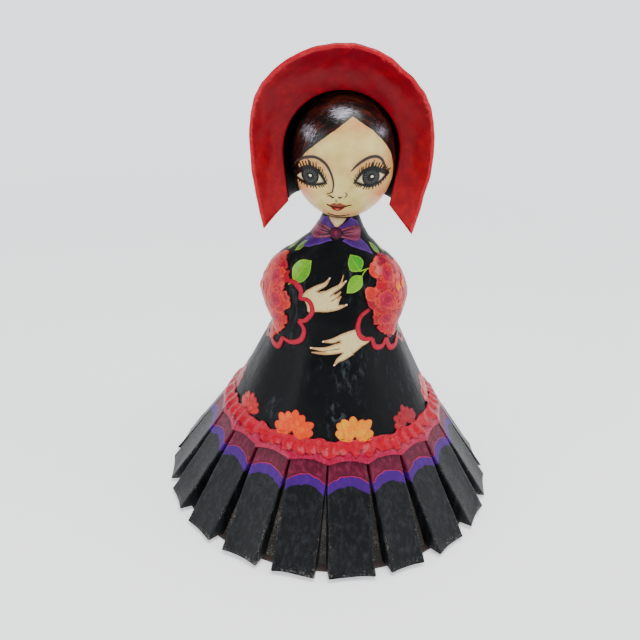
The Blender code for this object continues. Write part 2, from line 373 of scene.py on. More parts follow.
def motifPaint(name, roughness=0.3, spread=0.35):
    # brushed-on motif: its own colours, streaked by the brush
    material, tree, shader, place = startMaterial(name, roughness, 0.05, 0.15)
    strokes = groupNode(tree, brushStrokes, place, Scale=500.0, Stretch=(1.0, 1.0, 0.35), Contrast=0.2)
    paint = valueOf(tree, "paint", "Color")
    darker = addNode(tree, "ShaderNodeMix", {0: spread}, data_type="RGBA", blend_type="MULTIPLY")
    darker.inputs[7].default_value = (0.45, 0.4, 0.42, 1)
    wire(tree, (paint, darker.inputs[6]))
    streaked = mixColours(tree, strokes.outputs["Factor"], darker.outputs[2], paint)
    wire(tree, (streaked, shader.inputs["Base Color"]))
    coat = varnish(tree, shader, place, strokes.outputs["Height"], 0.8, 0.35)
    glossSpread(tree, shader, coat.outputs["Gloss"], roughness - 0.08, roughness + 0.14)
    return material


def facePaint():
    # ivory with rosy cheeks, and hair brushed on in black and chestnut along its flow, with grey patches of
    # painted highlight on the hair
    material, tree, shader, place = startMaterial("faceVarnish", 0.3, 0.08, 0.2)
    cloud = stepAt(tree, noiseAt(tree, place, 75.0, 5.0), 0.5, 0.16)
    skin = mixColours(tree, cloud, colours["ivoryDark"], colours["ivoryLight"])
    patchy = addNode(tree, "ShaderNodeMath", operation="MULTIPLY", use_clamp=True)
    wire(tree, (addTo(tree, valueOf(tree, "warm"), noiseAt(tree, place, 120.0, 5.0), 0.25), patchy.inputs[0]),
         (noiseAt(tree, place, 260.0, 5.0), patchy.inputs[1]))
    skin = mixColours(tree, patchy.outputs[0], skin, colours["tan"])
    skin = mixColours(tree, valueOf(tree, "rosy"), skin, colours["blush"])
    flow = valueOf(tree, "flow", "Vector")
    strands = groupNode(tree, brushStrokes, flow, Scale=1.0, Stretch=(1.0, 1.0, 1.0), Contrast=0.5)
    bright = groupNode(tree, brushStrokes, flow, Scale=3.6, Stretch=(1.0, 1.0, 1.6), Contrast=0.7)
    hair = mixColours(tree, strands.outputs["Factor"], colours["hair"], colours["hairRed"])
    # grey patches of painted highlight on the hair, broken up by the strokes
    paintedHighlight = stepAt(tree, addTo(tree, valueOf(tree, "paintedHighlight"), bright.outputs["Height"], 3.2), 2.52, 0.34)
    hair = mixColours(tree, paintedHighlight, hair, colours["highlightGrey"])
    edge = addTo(tree, valueOf(tree, "hair"), strands.outputs["Height"], 0.0012)
    hair = mixColours(tree, stepAt(tree, edge, 0.0030, 0.0022), colours["hair"], hair)
    painted = mixColours(tree, stepAt(tree, edge, 0.0006, 0.00025), skin, hair)
    wire(tree, (painted, shader.inputs["Base Color"]))
    coat = varnish(tree, shader, place, strands.outputs["Height"], 0.5, 0.12)
    glossSpread(tree, shader, coat.outputs["Gloss"], 0.24, 0.44)
    return material


def bonnetPaint():
    # crimson with painted light, darker above and brighter towards the tips; a painted highlight along the
    # rim, and specks rubbed pink there
    material, tree, shader, place = startMaterial("bonnetVarnish", 0.38, 0.04, 0.12)
    strokes = groupNode(tree, brushStrokes, place, Scale=230.0, Stretch=(0.55, 1.0, 0.55), Contrast=0.25)
    deep = mixColours(tree, strokes.outputs["Factor"], colours["crimson"], (0.17, 0.0004, 0.006))
    bright = mixColours(tree, strokes.outputs["Factor"], (0.22, 0.0003, 0.005), (0.37, 0.0016, 0.0045))
    # painted light: the glow value turns the deep red of the upper brim into the bright red of the tips
    glow = addTo(tree, valueOf(tree, "glow"), noiseAt(tree, place, 45.0, 3.0), 0.5)
    red = mixColours(tree, stepAt(tree, glow, 0.72, 0.4), deep, bright)
    rub = groupNode(tree, chippedPaint, place, Amount=0.75, Scale=480.0)
    wire(tree, (valueOf(tree, "edge"), rub.inputs["Edge"]))
    # a painted highlight: a lighter red line along the rim
    rim = addTo(tree, valueOf(tree, "edge"), noiseAt(tree, place, 90.0), 0.4)
    red = mixColours(tree, stepAt(tree, rim, 1.25, 0.25), red, (0.32, 0.0030, 0.011))
    worn = mixColours(tree, rub.outputs["Mask"], red, (0.38, 0.010, 0.020))
    wire(tree, (worn, shader.inputs["Base Color"]))
    coat = varnish(tree, shader, place, strokes.outputs["Height"], 1.2, 0.3)
    glossSpread(tree, shader, coat.outputs["Gloss"], 0.28, 0.52)
    return material


def hollowShadePaint():
    # the hollow of the bonnet, brushed nearly black: painted shade for the dark gap between the hair and the
    # brim
    material, tree, shader, place = startMaterial("hollowShadeVarnish", 0.6, 0.0, 0.1)
    strokes = groupNode(tree, brushStrokes, place, Scale=260.0, Stretch=(1.0, 1.0, 0.3), Contrast=0.4)
    dark = mixColours(tree, strokes.outputs["Factor"], colours["black"], (0.020, 0.003, 0.004))
    wire(tree, (dark, shader.inputs["Base Color"]))
    varnish(tree, shader, place, strokes.outputs["Height"], 0.8, 0.3)
    return material


def cardPaint():
    material, tree, shader, place = startMaterial("bareCard", 0.85)
    fibre = groupNode(tree, brushStrokes, place, Scale=700.0, Stretch=(1.0, 1.0, 0.3), Contrast=0.3)
    brown = mixColours(tree, fibre.outputs["Factor"], (0.040, 0.026, 0.022), (0.100, 0.062, 0.048))
    stain = mixColours(tree, noiseAt(tree, place, 50.0, 4.0), (0.010, 0.008, 0.008), brown)
    wire(tree, (stain, shader.inputs["Base Color"]))
    coat = varnish(tree, shader, place, fibre.outputs["Height"], 0.6, 0.5)
    glossSpread(tree, shader, coat.outputs["Gloss"], 0.75, 0.95)
    return material


def reedPaint():
    material, tree, shader, place = startMaterial("dryReed", 0.7)
    fibre = groupNode(tree, brushStrokes, place, Scale=1500.0, Stretch=(1.0, 1.0, 0.05), Contrast=0.3)
    straw = mixColours(tree, fibre.outputs["Factor"], (0.32, 0.22, 0.10), (0.56, 0.43, 0.24))
    wire(tree, (straw, shader.inputs["Base Color"]))
    varnish(tree, shader, place, fibre.outputs["Height"], 0.2, 0.8)
    return material


# body: bell and sleeves in one skin of pressed paper

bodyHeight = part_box("body_shell")[1].z
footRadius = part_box("body_shell")[1].x
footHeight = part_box("body_shell")[0].z
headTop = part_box("head_shell")[1].z

dress = dict(
    neckRadius=0.014, bellPower=1.18,
    sleeveDrop=0.059, sleeveSwell=0.0215, sleeveDepth=0.0350, sleeveLength=0.0300, sleeveLean=12.0,
    sleeveBlend=0.006, leftShare=1.06, rightShare=0.75, rightShift=0.0042,
    shoulders=((0.1430, 0.0), (0.1540, 0.0062), (0.1740, 0.0204), (0.1840, 0.0232), (0.1955, 0.0222),
               (0.2055, 0.0170), (0.2190, 0.0046), (0.2265, 0.0018), (0.2365, 0.0)),
    lumpSize=0.028, lumpHeight=0.0006, fluteHeight=0.0007, flutes=9, fluteTop=0.19, fluteLow=0.07,
    turns=300, levels=210, groundTop=0.074, groundFade=0.006, topDome=0.0032, neckFade=0.02,
)


def bellRadius(height):
    rise = np.clip(np.asarray(height, dtype=float) / bodyHeight, 0, 1)
    return dress["neckRadius"] + (footRadius - dress["neckRadius"]) * (1 - rise) ** dress["bellPower"]


def bodyRadiusAt(turn, height):
    # distance from the axis to the skin at an angle from +X
    # the sleeves are leaning egg shapes blended into the bell
    radius = bellRadius(height)
    centreHeight = bodyHeight - dress["sleeveDrop"]
    centreOut = float(bellRadius(centreHeight))
    lean = math.radians(dress["sleeveLean"])
    sideShare = np.where(np.cos(turn) > 0, dress["rightShare"], dress["leftShare"])
    swell = np.interp(height, *zip(*dress["shoulders"])) * sideShare
    wide = radius + swell
    total = 1 / np.sqrt((np.cos(turn) / wide) ** 2 + (np.sin(turn) / radius) ** 2)
    for side in (1, -1):
        across = np.array([side * math.cos(lean), 0, math.sin(lean)]) / dress["sleeveSwell"]
        along = np.array([-side * math.sin(lean), 0, math.cos(lean)]) / dress["sleeveLength"]
        depth = np.array([0, 1, 0]) / dress["sleeveDepth"]
        ray = np.stack([np.cos(turn), np.sin(turn), np.zeros_like(turn)], -1)
        out = side * (centreOut - (dress["rightShift"] if side > 0 else 0))
        start = np.stack([np.full_like(turn, -out), np.zeros_like(turn), height - centreHeight], -1)
        rays = np.stack([ray @ across, ray @ depth, ray @ along], -1)
        starts = np.stack([start @ across, start @ depth, start @ along], -1)
        a, b = (rays * rays).sum(-1), (rays * starts).sum(-1)
        room = b * b - a * ((starts * starts).sum(-1) - 1)
        reach = (-b + np.sign(room) * np.sqrt(np.abs(room))) / a
        total = smoothMax(total, reach, dress["sleeveBlend"])
    return total


def makeBody(material):
    turns, levels = dress["turns"], dress["levels"]
    heights = footHeight + (bodyHeight - footHeight) * (1 - np.linspace(0, 1, levels))
    turn = np.tile(np.linspace(0, 2 * math.pi, turns, endpoint=False), levels)
    height = np.repeat(heights, turns)
    radius = bodyRadiusAt(turn, height)
    points = np.stack([radius * np.cos(turn), radius * np.sin(turn), height], -1)
    fade = np.clip((bodyHeight - height) / dress["neckFade"], 0, 1)
    swell = lumps(points, dress["lumpSize"], dress["lumpHeight"], 3) * fade
    flute = np.clip((dress["fluteTop"] - height) / 0.08, 0, 1)
    flute *= np.clip((height - dress["fluteLow"]) / 0.03, 0, 1)
    swell += dress["fluteHeight"] * flute * np.sin(dress["flutes"] * turn + 0.6 * np.sin(3 * turn))
    points[:, :2] *= ((radius + swell) / radius)[:, None]
    verts = list(points) + [(0, 0, bodyHeight - dress["topDome"]), (0, 0, footHeight)]
    faces = gridFaces(levels, turns, wrap=True)
    top, bottom, last = len(points), len(points) + 1, (levels - 1) * turns
    faces += [(top, i, (i + 1) % turns) for i in range(turns)]
    faces += [(bottom, last + (i + 1) % turns, last + i) for i in range(turns)]
    body = newPiece("dressBody", verts, faces)
    ground = np.clip((dress["groundTop"] - height) / dress["groundFade"], 0, 1)
    giveValues(body, "ground", np.append(ground, [0, 1]))
    return finishPiece(body, material, ("body_shell", "sleeve_left", "sleeve_right"))


# pleats: one folded channel of card, repeated round the skirt with its own width each time

pleatLow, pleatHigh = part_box("pleat_01")
pleats = dict(
    count=20, firstTurn=7.5, widths=(0.78, 0.64, 0.68, 0.70, 0.73), dropShare=0.3, flareShare=0.6,
    card=0.0014, slit=0.0008, standOff=0.012, fold=0.0011, bow=0.0011, glue=0.0003, hemRise=0.0007,
    faceColumns=22, foldColumns=5, sideColumns=6, rows=34,
    arch=0.0048, plumLow=0.0625, purpleLow=0.0560, wobble=0.0009, seed=4,
)


def pleatFace(along):
    # face radius and height, from the top (0) to the hem (1)
    low = pleatLow.z + pleats["hemRise"]
    topRadius = float(bellRadius(pleatHigh.z)) + pleats["glue"] + pleats["card"] * 1.3
    hemRadius = footRadius + pleats["standOff"]
    return topRadius + (hemRadius - topRadius) * along, pleatHigh.z + (low - pleatHigh.z) * along


def makePleatTemplate():
    # a cross-section of side, rounded fold, face, rounded fold, side, swept from top to hem
    halfPitch = math.tan(math.pi / pleats["count"])
    width = 2 * (float(bellRadius(pleatHigh.z)) + pleats["glue"]) * halfPitch - pleats["slit"]
    verts, level, edge, flare = [], [], [], []
    fold, rows = pleats["fold"], pleats["rows"]
    for row in range(rows):
        along = row / (rows - 1)
        radius, height = pleatFace(along)
        foot = math.sqrt(max(float(bellRadius(height)) ** 2 - (width / 2) ** 2, 0)) - 0.0004
        section = []
        for i in range(pleats["sideColumns"]):
            section.append((-width / 2, foot + (radius - fold - foot) * i / pleats["sideColumns"], 0.5))
        for i in range(pleats["foldColumns"]):
            turn = math.pi / 2 * i / (pleats["foldColumns"] - 1)
            across, out = -width / 2 + fold * (1 - math.cos(turn)), radius - fold + fold * math.sin(turn)
            section.append((across, out, 1.0))
        inner = width / 2 - fold
        for i in range(1, pleats["faceColumns"]):
            across = -1 + 2 * i / pleats["faceColumns"]
            sag = pleats["bow"] * along * (1 - across**2)
            section.append((inner * across, radius - sag, abs(across) ** 6))
        firstSide = section[:pleats["sideColumns"] + pleats["foldColumns"]]
        section += [(-x, out, rim) for x, out, rim in reversed(firstSide)]
        grow = along / pleats["dropShare"] * pleats["flareShare"]
        if along > pleats["dropShare"]:
            below = (along - pleats["dropShare"]) / (1 - pleats["dropShare"])
            grow = pleats["flareShare"] + below * (1 - pleats["flareShare"])
        for x, out, rim in section:
            verts.append((x, -out, height))
            level.append(height + pleats["arch"] * (abs(2 * x / width) ** 2.2 - 0.35))
            edge.append(max(rim * (0.35 + 0.65 * along), 1.25 * max(0, (along - 0.90) / 0.10)))
            flare.append(grow)
    columns = len(verts) // rows
    template = newPiece("pleatTemplate", verts, gridFaces(rows, columns))
    giveValues(template, "level", level)
    giveValues(template, "edge", edge)
    giveValues(template, "flare", flare)
    wall = template.modifiers.new("card", "SOLIDIFY")
    wall.thickness, wall.offset, wall.use_even_offset = pleats["card"], -1, True
    return template, width


def pleatRingTree():
    # puts the template on every point, widens it by the point's share, turns it, and dents the card a little
    tree = bpy.data.node_groups.new("pleatRing", "GeometryNodeTree")
    sockets = {}
    kinds = (("Points", "Geometry"), ("Pleat", "Object"), ("Hem Ratio", "Float"), ("Wobble", "Float"),
             ("Seed", "Float"), ("Card", "Material"))
    for name, kind in kinds:
        sockets[name] = tree.interface.new_socket(name, in_out="INPUT",
                                                  socket_type="NodeSocket" + kind).identifier
    tree.interface.new_socket("Skirt", in_out="OUTPUT", socket_type="NodeSocketGeometry")
    inside, outside = tree.nodes.new("NodeGroupInput"), tree.nodes.new("NodeGroupOutput")
    source = addNode(tree, "GeometryNodeObjectInfo")
    scatter = addNode(tree, "GeometryNodeInstanceOnPoints")
    real = addNode(tree, "GeometryNodeRealizeInstances")
    named = {}
    for name in ("share", "turn", "flare"):
        node = addNode(tree, "GeometryNodeInputNamedAttribute", {"Name": name}, data_type="FLOAT")
        named[name] = node.outputs["Attribute"]
    ratio = addNode(tree, "ShaderNodeMath", operation="MULTIPLY")
    less = addNode(tree, "ShaderNodeMath", operation="SUBTRACT")
    less.inputs[1].default_value = 1.0
    factor = addNode(tree, "ShaderNodeMath", operation="MULTIPLY_ADD")
    factor.inputs[2].default_value = 1.0
    stretch = addNode(tree, "ShaderNodeCombineXYZ", {"Y": 1.0, "Z": 1.0})
    place = addNode(tree, "GeometryNodeInputPosition")
    scaled = addNode(tree, "ShaderNodeVectorMath", operation="MULTIPLY")
    rotated = addNode(tree, "ShaderNodeVectorRotate", rotation_type="Z_AXIS")
    setPlace = addNode(tree, "GeometryNodeSetPosition")
    dent = addNode(tree, "GeometryNodeSetPosition")
    cloud = addNode(tree, "ShaderNodeTexNoise", {"Scale": 42.0, "Detail": 1.0}, noise_dimensions="4D")
    centred = addNode(tree, "ShaderNodeVectorMath", operation="SUBTRACT")
    centred.inputs[1].default_value = (0.5, 0.5, 0.5)
    sized = addNode(tree, "ShaderNodeVectorMath", operation="SCALE")
    freedom = addNode(tree, "ShaderNodeMath", operation="MULTIPLY")
    paint = addNode(tree, "GeometryNodeSetMaterial")
    wire(tree,
         (inside.outputs["Pleat"], source.inputs["Object"]),
         (inside.outputs["Points"], scatter.inputs["Points"]),
         (source.outputs["Geometry"], scatter.inputs["Instance"]), (scatter.outputs[0], real.inputs[0]),
         (named["share"], ratio.inputs[0]), (inside.outputs["Hem Ratio"], ratio.inputs[1]),
         (ratio.outputs[0], less.inputs[0]), (less.outputs[0], factor.inputs[0]),
         (named["flare"], factor.inputs[1]),
         (factor.outputs[0], stretch.inputs["X"]), (place.outputs[0], scaled.inputs[0]),
         (stretch.outputs[0], scaled.inputs[1]), (scaled.outputs[0], rotated.inputs["Vector"]),
         (named["turn"], rotated.inputs["Angle"]), (real.outputs[0], setPlace.inputs["Geometry"]),
         (rotated.outputs[0], setPlace.inputs["Position"]), (setPlace.outputs[0], dent.inputs["Geometry"]),
         (inside.outputs["Seed"], cloud.inputs["W"]), (cloud.outputs["Color"], centred.inputs[0]),
         (centred.outputs[0], sized.inputs[0]), (inside.outputs["Wobble"], freedom.inputs[0]),
         (named["flare"], freedom.inputs[1]), (freedom.outputs[0], sized.inputs["Scale"]),
         (sized.outputs[0], dent.inputs["Offset"]), (dent.outputs[0], paint.inputs["Geometry"]),
         (inside.outputs["Card"], paint.inputs["Material"]), (paint.outputs[0], outside.inputs["Skirt"]))
    return tree, sockets


def makePleats(material):
    template, width = makePleatTemplate()
    count = pleats["count"]
    skirt = newPiece("skirtPoints", [(0, 0, 0)] * count, [])
    firstTurn = math.radians(pleats["firstTurn"])
    giveValues(skirt, "turn", [firstTurn + 2 * math.pi * i / count for i in range(count)])
    giveValues(skirt, "share", [pleats["widths"][i % len(pleats["widths"])] for i in range(count)])
    tree, sockets = pleatRingTree()
    ring = skirt.modifiers.new("pleatRing", "NODES")
    ring.node_group = tree
    hemWidth = 2 * (footRadius + pleats["standOff"]) * math.tan(math.pi / count)
    given = {"Pleat": template, "Hem Ratio": hemWidth / width, "Wobble": pleats["wobble"] * 2,
             "Seed": float(pleats["seed"]), "Card": material}
    for name, value in given.items():
        ring[sockets[name]] = value
    skirt = bakedPiece(skirt, "skirtPleats")
    bpy.data.objects.remove(template)
    skirt.data.set_sharp_from_angle(angle=math.radians(40))
    nodes = [f"pleat_{i + 1:02d}" for i in range(count)]
    return finishPiece(skirt, None, nodes)


# hem band: a waving strip of paper over the pleats' tops

hemLow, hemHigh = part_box("hem_band")
hem = dict(
    turns=880, rows=16, topDrop=0.0030, thickness=0.0013, waves=22, wave=0.0013, ripple=0.0010, lift=0.0010,
    redLow=0.0797, roseLow=0.0740, blackLow=0.0885,
)


def makeBand(material):
    # it hugs the bell at its top and follows the faces and folds of the pleats at its lower edge
    turns, rows = hem["turns"], hem["rows"]
    wave = hem["wave"]
    topHeight = hemHigh.z - hem["topDrop"]
    step = 2 * math.pi / pleats["count"]
    turn = np.linspace(0, 2 * math.pi, turns, endpoint=False)
    local = (turn + math.pi / 2 - math.radians(pleats["firstTurn"]) + step / 2) % step - step / 2
    edgeWave = wave * (0.6 * np.cos(hem["waves"] * turn) + 0.5 * np.cos(37 * turn + 2 * np.sin(5 * turn)))
    lowWave = 0.0012 * (np.abs(local / (step / 2)) ** 2 * 2 - 1)
    outer, level = [], []
    for row in range(rows):
        down = row / (rows - 1)
        top, low = topHeight + edgeWave, hemLow.z + 0.0006 - lowWave
        height = top + (low - top) * down
        hug = bellRadius(height) + 0.0003
        along = np.clip((pleatHigh.z - height) / (pleatHigh.z - pleatLow.z - 0.0007), 0, 1)
        face = pleatFace(along)[0] + hem["lift"]
        lap = np.clip((pleatHigh.z + 0.003 - height) / 0.006, 0, 1)
        radius = hug + (face / np.cos(local) - hug) * lap * lap * (3 - 2 * lap)
        ripple = np.sin(2.5 * pleats["count"] * turn + 2 * np.sin(7 * turn) + 1.8 * math.sin(4.4 * down))
        radius = radius + hem["ripple"] * ripple * math.sin(math.pi * min(1, down + 0.15))
        swell = hem["thickness"] * (0.55 + 0.45 * math.sin(math.pi * min(1, 0.15 + down * 0.7)))
        outer.append(np.stack([(radius + swell) * np.cos(turn), (radius + swell) * np.sin(turn), height], -1))
        border = edgeWave * 0.75 + 0.0011 * np.sin(43 * turn + 2 * np.sin(9 * turn))
        level.append(height - border * (1 - 0.3 * down))
    inner = []
    for row, ring in enumerate(outer):
        length = np.hypot(ring[:, 0], ring[:, 1])
        scale = (length - hem["thickness"] * (0.75 if 0 < row < rows - 1 else 0.45)) / length
        inner.append(np.stack([ring[:, 0] * scale, ring[:, 1] * scale, ring[:, 2]], -1))
    loop = outer + inner[::-1]
    verts = np.concatenate(loop)
    count = len(loop)
    faces = gridFaces(count, turns, wrap=True)
    last = (count - 1) * turns
    faces += [(last + i, i, (i + 1) % turns, last + (i + 1) % turns) for i in range(turns)]
    band = newPiece("hemRuffle", verts, faces, 60)
    giveValues(band, "level", np.concatenate(level + level[::-1]))
    return finishPiece(band, material, ("hem_band",))


# head

head = dict(halfWidth=0.039, above=0.046, below=0.045, turns=280, levels=170)
headCentre = headTop - head["above"]
hairLine = [
    (-180, -30), (-100, -29), (-76, -25), (-68, -18), (-62, -9), (-54, 0.5), (-45, 7), (-31, 14.2),
    (-18.6, 20.7), (-5.6, 26.8), (8.0, 32.2), (20, 28.4), (32, 23.9), (44, 17.7), (56.6, 9.2), (66, -1.9),
    (74, -13), (82, -24), (100, -29), (180, -30),
]


def makeHead(material):
    turns, levels = head["turns"], head["levels"]
    polar = np.linspace(0, math.pi, levels + 2)[1:-1]
    turn = np.tile(np.linspace(0, 2 * math.pi, turns, endpoint=False), levels)
    polar = np.repeat(polar, turns)
    reach = np.where(polar < math.pi / 2, head["above"], head["below"])
    out = head["halfWidth"] * np.sin(polar)
    points = np.stack([out * np.cos(turn), out * np.sin(turn), reach * np.cos(polar)], -1)
    swell = 1 + lumps(points, 0.03, 0.0004, 9) / head["halfWidth"]
    points *= swell[:, None]
    points = np.concatenate([points, [[0, 0, head["above"]], [0, 0, -head["below"]]]])
    top, bottom, last = levels * turns, levels * turns + 1, (levels - 1) * turns
    faces = gridFaces(levels, turns, wrap=True)
    faces += [(top, i, (i + 1) % turns) for i in range(turns)]
    faces += [(bottom, last + (i + 1) % turns, last + i) for i in range(turns)]
    x, y, z = points.T
    azimuth = np.degrees(np.arctan2(x, -y))
    line = np.interp(azimuth, *zip(*hairLine)) / 1000
    skin = newPiece("paintedHead", points + [0, 0, headCentre], faces)
    giveValues(skin, "hair", z - line)
    fromAxis = np.hypot(x, z)
    angle = np.arctan2(x, z + 0.01)
    giveValues(skin, "flow", np.stack([fromAxis * 620, y * 420, angle * 2.2], -1))
    front = y < 0.004

    def glow(cx, cz, wide, tall, strength):
        return strength * np.exp(-((x - cx) / wide) ** 2 - ((z - cz) / tall) ** 2) * front

    # where the hair gets its grey painted highlight: at the top and on both sides
    paintedHighlight = glow(-0.0030, 0.0335, 0.0115, 0.0056, 1.1) + glow(-0.0262, 0.0195, 0.0070, 0.0075, 0.9)
    giveValues(skin, "paintedHighlight", np.clip(paintedHighlight + glow(0.0248, 0.0220, 0.006, 0.0065, 0.9), 0, 1))
    cheeks = glow(-0.0295, -0.0235, 0.0085, 0.0085, 0.75) + glow(0.0275, -0.0225, 0.0085, 0.0085, 0.75)
    giveValues(skin, "rosy", np.clip(cheeks + glow(-0.003, -0.038, 0.02, 0.004, 0.35), 0, 1))
    # tan patches at the brow, the temples, along the hair, round the eyes, by the nose and on the chin
    warm = np.exp(-((z - line) / 0.0045) ** 2) * 0.7 * front
    spots = ((0.004, 0.026, 0.016, 0.009, 1.1), (-0.031, 0.0, 0.008, 0.012, 0.9),
             (0.032, 0.0, 0.006, 0.014, 0.9), (-0.0225, -0.0030, 0.0125, 0.0085, 2.6),
             (0.0185, -0.0015, 0.0125, 0.0085, 2.6), (-0.0095, -0.012, 0.0028, 0.010, 0.8),
             (-0.003, -0.0385, 0.03, 0.004, 0.9))
    for spot in spots:
        warm += glow(*spot)
    giveValues(skin, "warm", np.clip(warm, 0, 1.6))
    return finishPiece(skin, material, ("head_shell",))


# bonnet

brimLow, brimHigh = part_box("bonnet_brim")
crown = dict(
    radius=0.044, topRoom=0.0035, front=-0.0037, back=0.040, drop=0.040, taper=0.005, wall=0.003,
    rows=46, columns=84,
)
brim = dict(
    topWidth=0.028, sideWidth=0.0215, widestAbove=0.016, tipDrop=0.058, tipTuck=0.010, topFlare=0.018,
    tipFlare=0.011, thickness=0.0034, arcShare=0.64, stations=230, across=30, roundings=6,
    cut=0.0011, shift=-0.0022, trim=0.0034, bow=0.0022, dent=0.0011, glue=0.0003,
)
crownCentre = headTop + crown["topRoom"] - crown["radius"]


def makeCrown(material, hollowShade):
    rows, columns = crown["rows"], crown["columns"]
    verts, glow, edge = [], [], []
    bottom = crownCentre - crown["drop"]
    for row in range(rows):
        rise = math.sin((1 - row / rows) * math.pi / 2)
        height = bottom + (crownCentre + crown["radius"] - bottom) * rise
        over = max(0, height - crownCentre) / crown["radius"]
        shrink = math.sqrt(max(0, 1 - over * over))
        tuck = crown["taper"] * (max(0, crownCentre - height) / crown["drop"]) ** 2
        for column in range(columns):
            turn = math.pi * column / (columns - 1)
            x = -(crown["radius"] - tuck) * shrink * math.cos(turn)
            y = crown["front"] + (crown["back"] - crown["front"]) * shrink * math.sin(turn)
            outside = 1 + 0.010 * noise.noise(Vector((x, y, height)) * 45)
            verts.append((x * outside, crown["front"] + (y - crown["front"]) * outside, height))
            # painted light: the crown's lower rows are painted a little brighter, like the brim's tips
            glow.append(0.25 + 0.2 * (1 - rise))
            edge.append(1.0 if row > rows - 3 else 0.2)
    pole = len(verts)
    verts.append((0, crown["front"], crownCentre + crown["radius"]))
    glow.append(0.25)
    edge.append(0.1)
    faces = gridFaces(rows, columns)
    faces += [(pole, i, i + 1) for i in range(columns - 1)]
    faces = [tuple(reversed(face)) for face in faces]
    hood = newPiece("bonnetCrown", verts, faces, 60)
    giveValues(hood, "glow", glow)
    giveValues(hood, "edge", edge)
    wall = hood.modifiers.new("wall", "SOLIDIFY")
    wall.thickness, wall.offset, wall.use_even_offset = crown["wall"], 1, True
    hood = bakedPiece(hood, "bonnetCrown")
    finishPiece(hood, material, ("bonnet_crown",))
    hood.data.materials.append(hollowShade)
    # faces turned inwards, and those facing straight ahead at the wall's front edge, get the near-black
    # painted shade
    for face in hood.data.polygons:
        outward = face.center - Vector((0, crown["front"], crownCentre))
        if face.normal.dot(outward) < 0 or face.normal.y < -0.6:
            face.material_index = 1
    return hood


def brimStation(share):
    # inner point, outer point and flare, from the top (0) to a tip (1)
    side = crown["radius"] + brim["sideWidth"]
    widest = crownCentre + brim["widestAbove"]
    top = crownCentre + crown["radius"] + brim["topWidth"]
    if share < brim["arcShare"]:
        turn = math.pi / 2 * share / brim["arcShare"]
        inner = (crown["radius"] * math.sin(turn), crownCentre + crown["radius"] * math.cos(turn))
        outer = (side * math.sin(turn), widest + (top - widest) * math.cos(turn))
    else:
        down = (share - brim["arcShare"]) / (1 - brim["arcShare"])
        inner = (crown["radius"] - crown["taper"] * down**2, crownCentre - crown["drop"] * down)
        outer = (side - brim["tipTuck"] * down**2, widest - (widest - crownCentre + brim["tipDrop"]) * down)
    return inner, outer, brim["topFlare"] + (brim["tipFlare"] - brim["topFlare"]) * share


def makeBrim(material):
    # a rounded strip section swept round the face; the front face bows a little and the rim is cut by hand
    across, stations = brim["across"], brim["stations"]
    half = brim["thickness"] / 2
    section = []
    for i in range(across + 1):
        section.append((i / across, 1.0))
    for i in range(1, brim["roundings"]):
        section.append((1.0, math.cos(math.pi * i / brim["roundings"])))
    for i in range(across + 1):
        section.append((1 - i / across, -1.0))
    for i in range(1, brim["roundings"]):
        section.append((0.0, -math.cos(math.pi * i / brim["roundings"])))
    columns = len(section)
    verts, glow, edge = [], [], []
    for station in range(stations):
        share = 2 * station / (stations - 1) - 1
        side = 1 if share > 0 else -1
        inner, outer, flare = brimStation(abs(share))
        inner, outer = Vector((side * inner[0], 0, inner[1])), Vector((side * outer[0], 0, outer[1]))
        slow, quick = noise.noise(Vector((share * 6, 2.0, 5.0))), noise.noise(Vector((share * 17, 7.0, 1.0)))
        wander = brim["cut"] * (slow + 0.5 * quick)
        # the upper right of the rim is cut a little closer than the left
        trim = brim["trim"] * math.sin(math.pi * min(1, max(0, share / 0.78))) ** 2
        outer += (outer - inner).normalized() * (wander - brim["cut"] * 0.4 - trim)
        width = (outer - inner).length
        ahead = Vector((0, -1, 0))
        normal = (ahead * width - (outer - inner).normalized() * flare).normalized()
        thin = 1.0 if abs(share) < 0.985 else math.sqrt(max(0.05, 1 - ((abs(share) - 0.985) / 0.015) ** 2))
        for where, level in section:
            rounded = math.sqrt(max(0, 1 - level * level)) * half * (1 if where > 0.5 else -0.4)
            base = inner.lerp(outer, where) + ahead * flare * where
            bow = brim["bow"] * math.sin(math.pi * where) * (1 - 0.4 * abs(share))
            point = base + (outer - inner).normalized() * rounded + normal * (level * half * thin + half)
            point -= normal * bow
            point.y += crown["front"] - brim["glue"]
            point.x += brim["shift"]
            dent = brim["dent"] * noise.noise(point * 38) + 0.0004 * noise.noise(point * 110)
            verts.append(point + normal * dent * math.sin(math.pi * min(1, where * 0.9 + 0.05)))
            # painted light: the brim is painted brighter towards its tips; the edge value places the painted
            # highlight along the rim and the rubbed specks
            low = (brimHigh.z - point.z) / (brimHigh.z - brimLow.z)
            glow.append(low * 0.85 + 0.1 * where)
            edge.append(max(0, (where - 0.86) / 0.14) * 1.2 if level > -0.9 else 0.3)
    faces = []
    for station in range(stations - 1):
        for i in range(columns):
            a, b = station * columns + i, station * columns + (i + 1) % columns
            faces.append((a, a + columns, b + columns, b))
    faces.append(tuple(range(columns)))
    faces.append(tuple(reversed(range((stations - 1) * columns, stations * columns))))
    strip = newPiece("bonnetBrim", verts, faces, 55)
    giveValues(strip, "glow", glow)
    giveValues(strip, "edge", edge)
    shape = bmesh.new()
    shape.from_mesh(strip.data)
    bmesh.ops.recalc_face_normals(shape, faces=shape.faces)
    shape.to_mesh(strip.data)
    shape.free()
    return finishPiece(strip, material, ("bonnet_brim",))


# base card and reed

base = dict(turns=240, wander=0.0005)


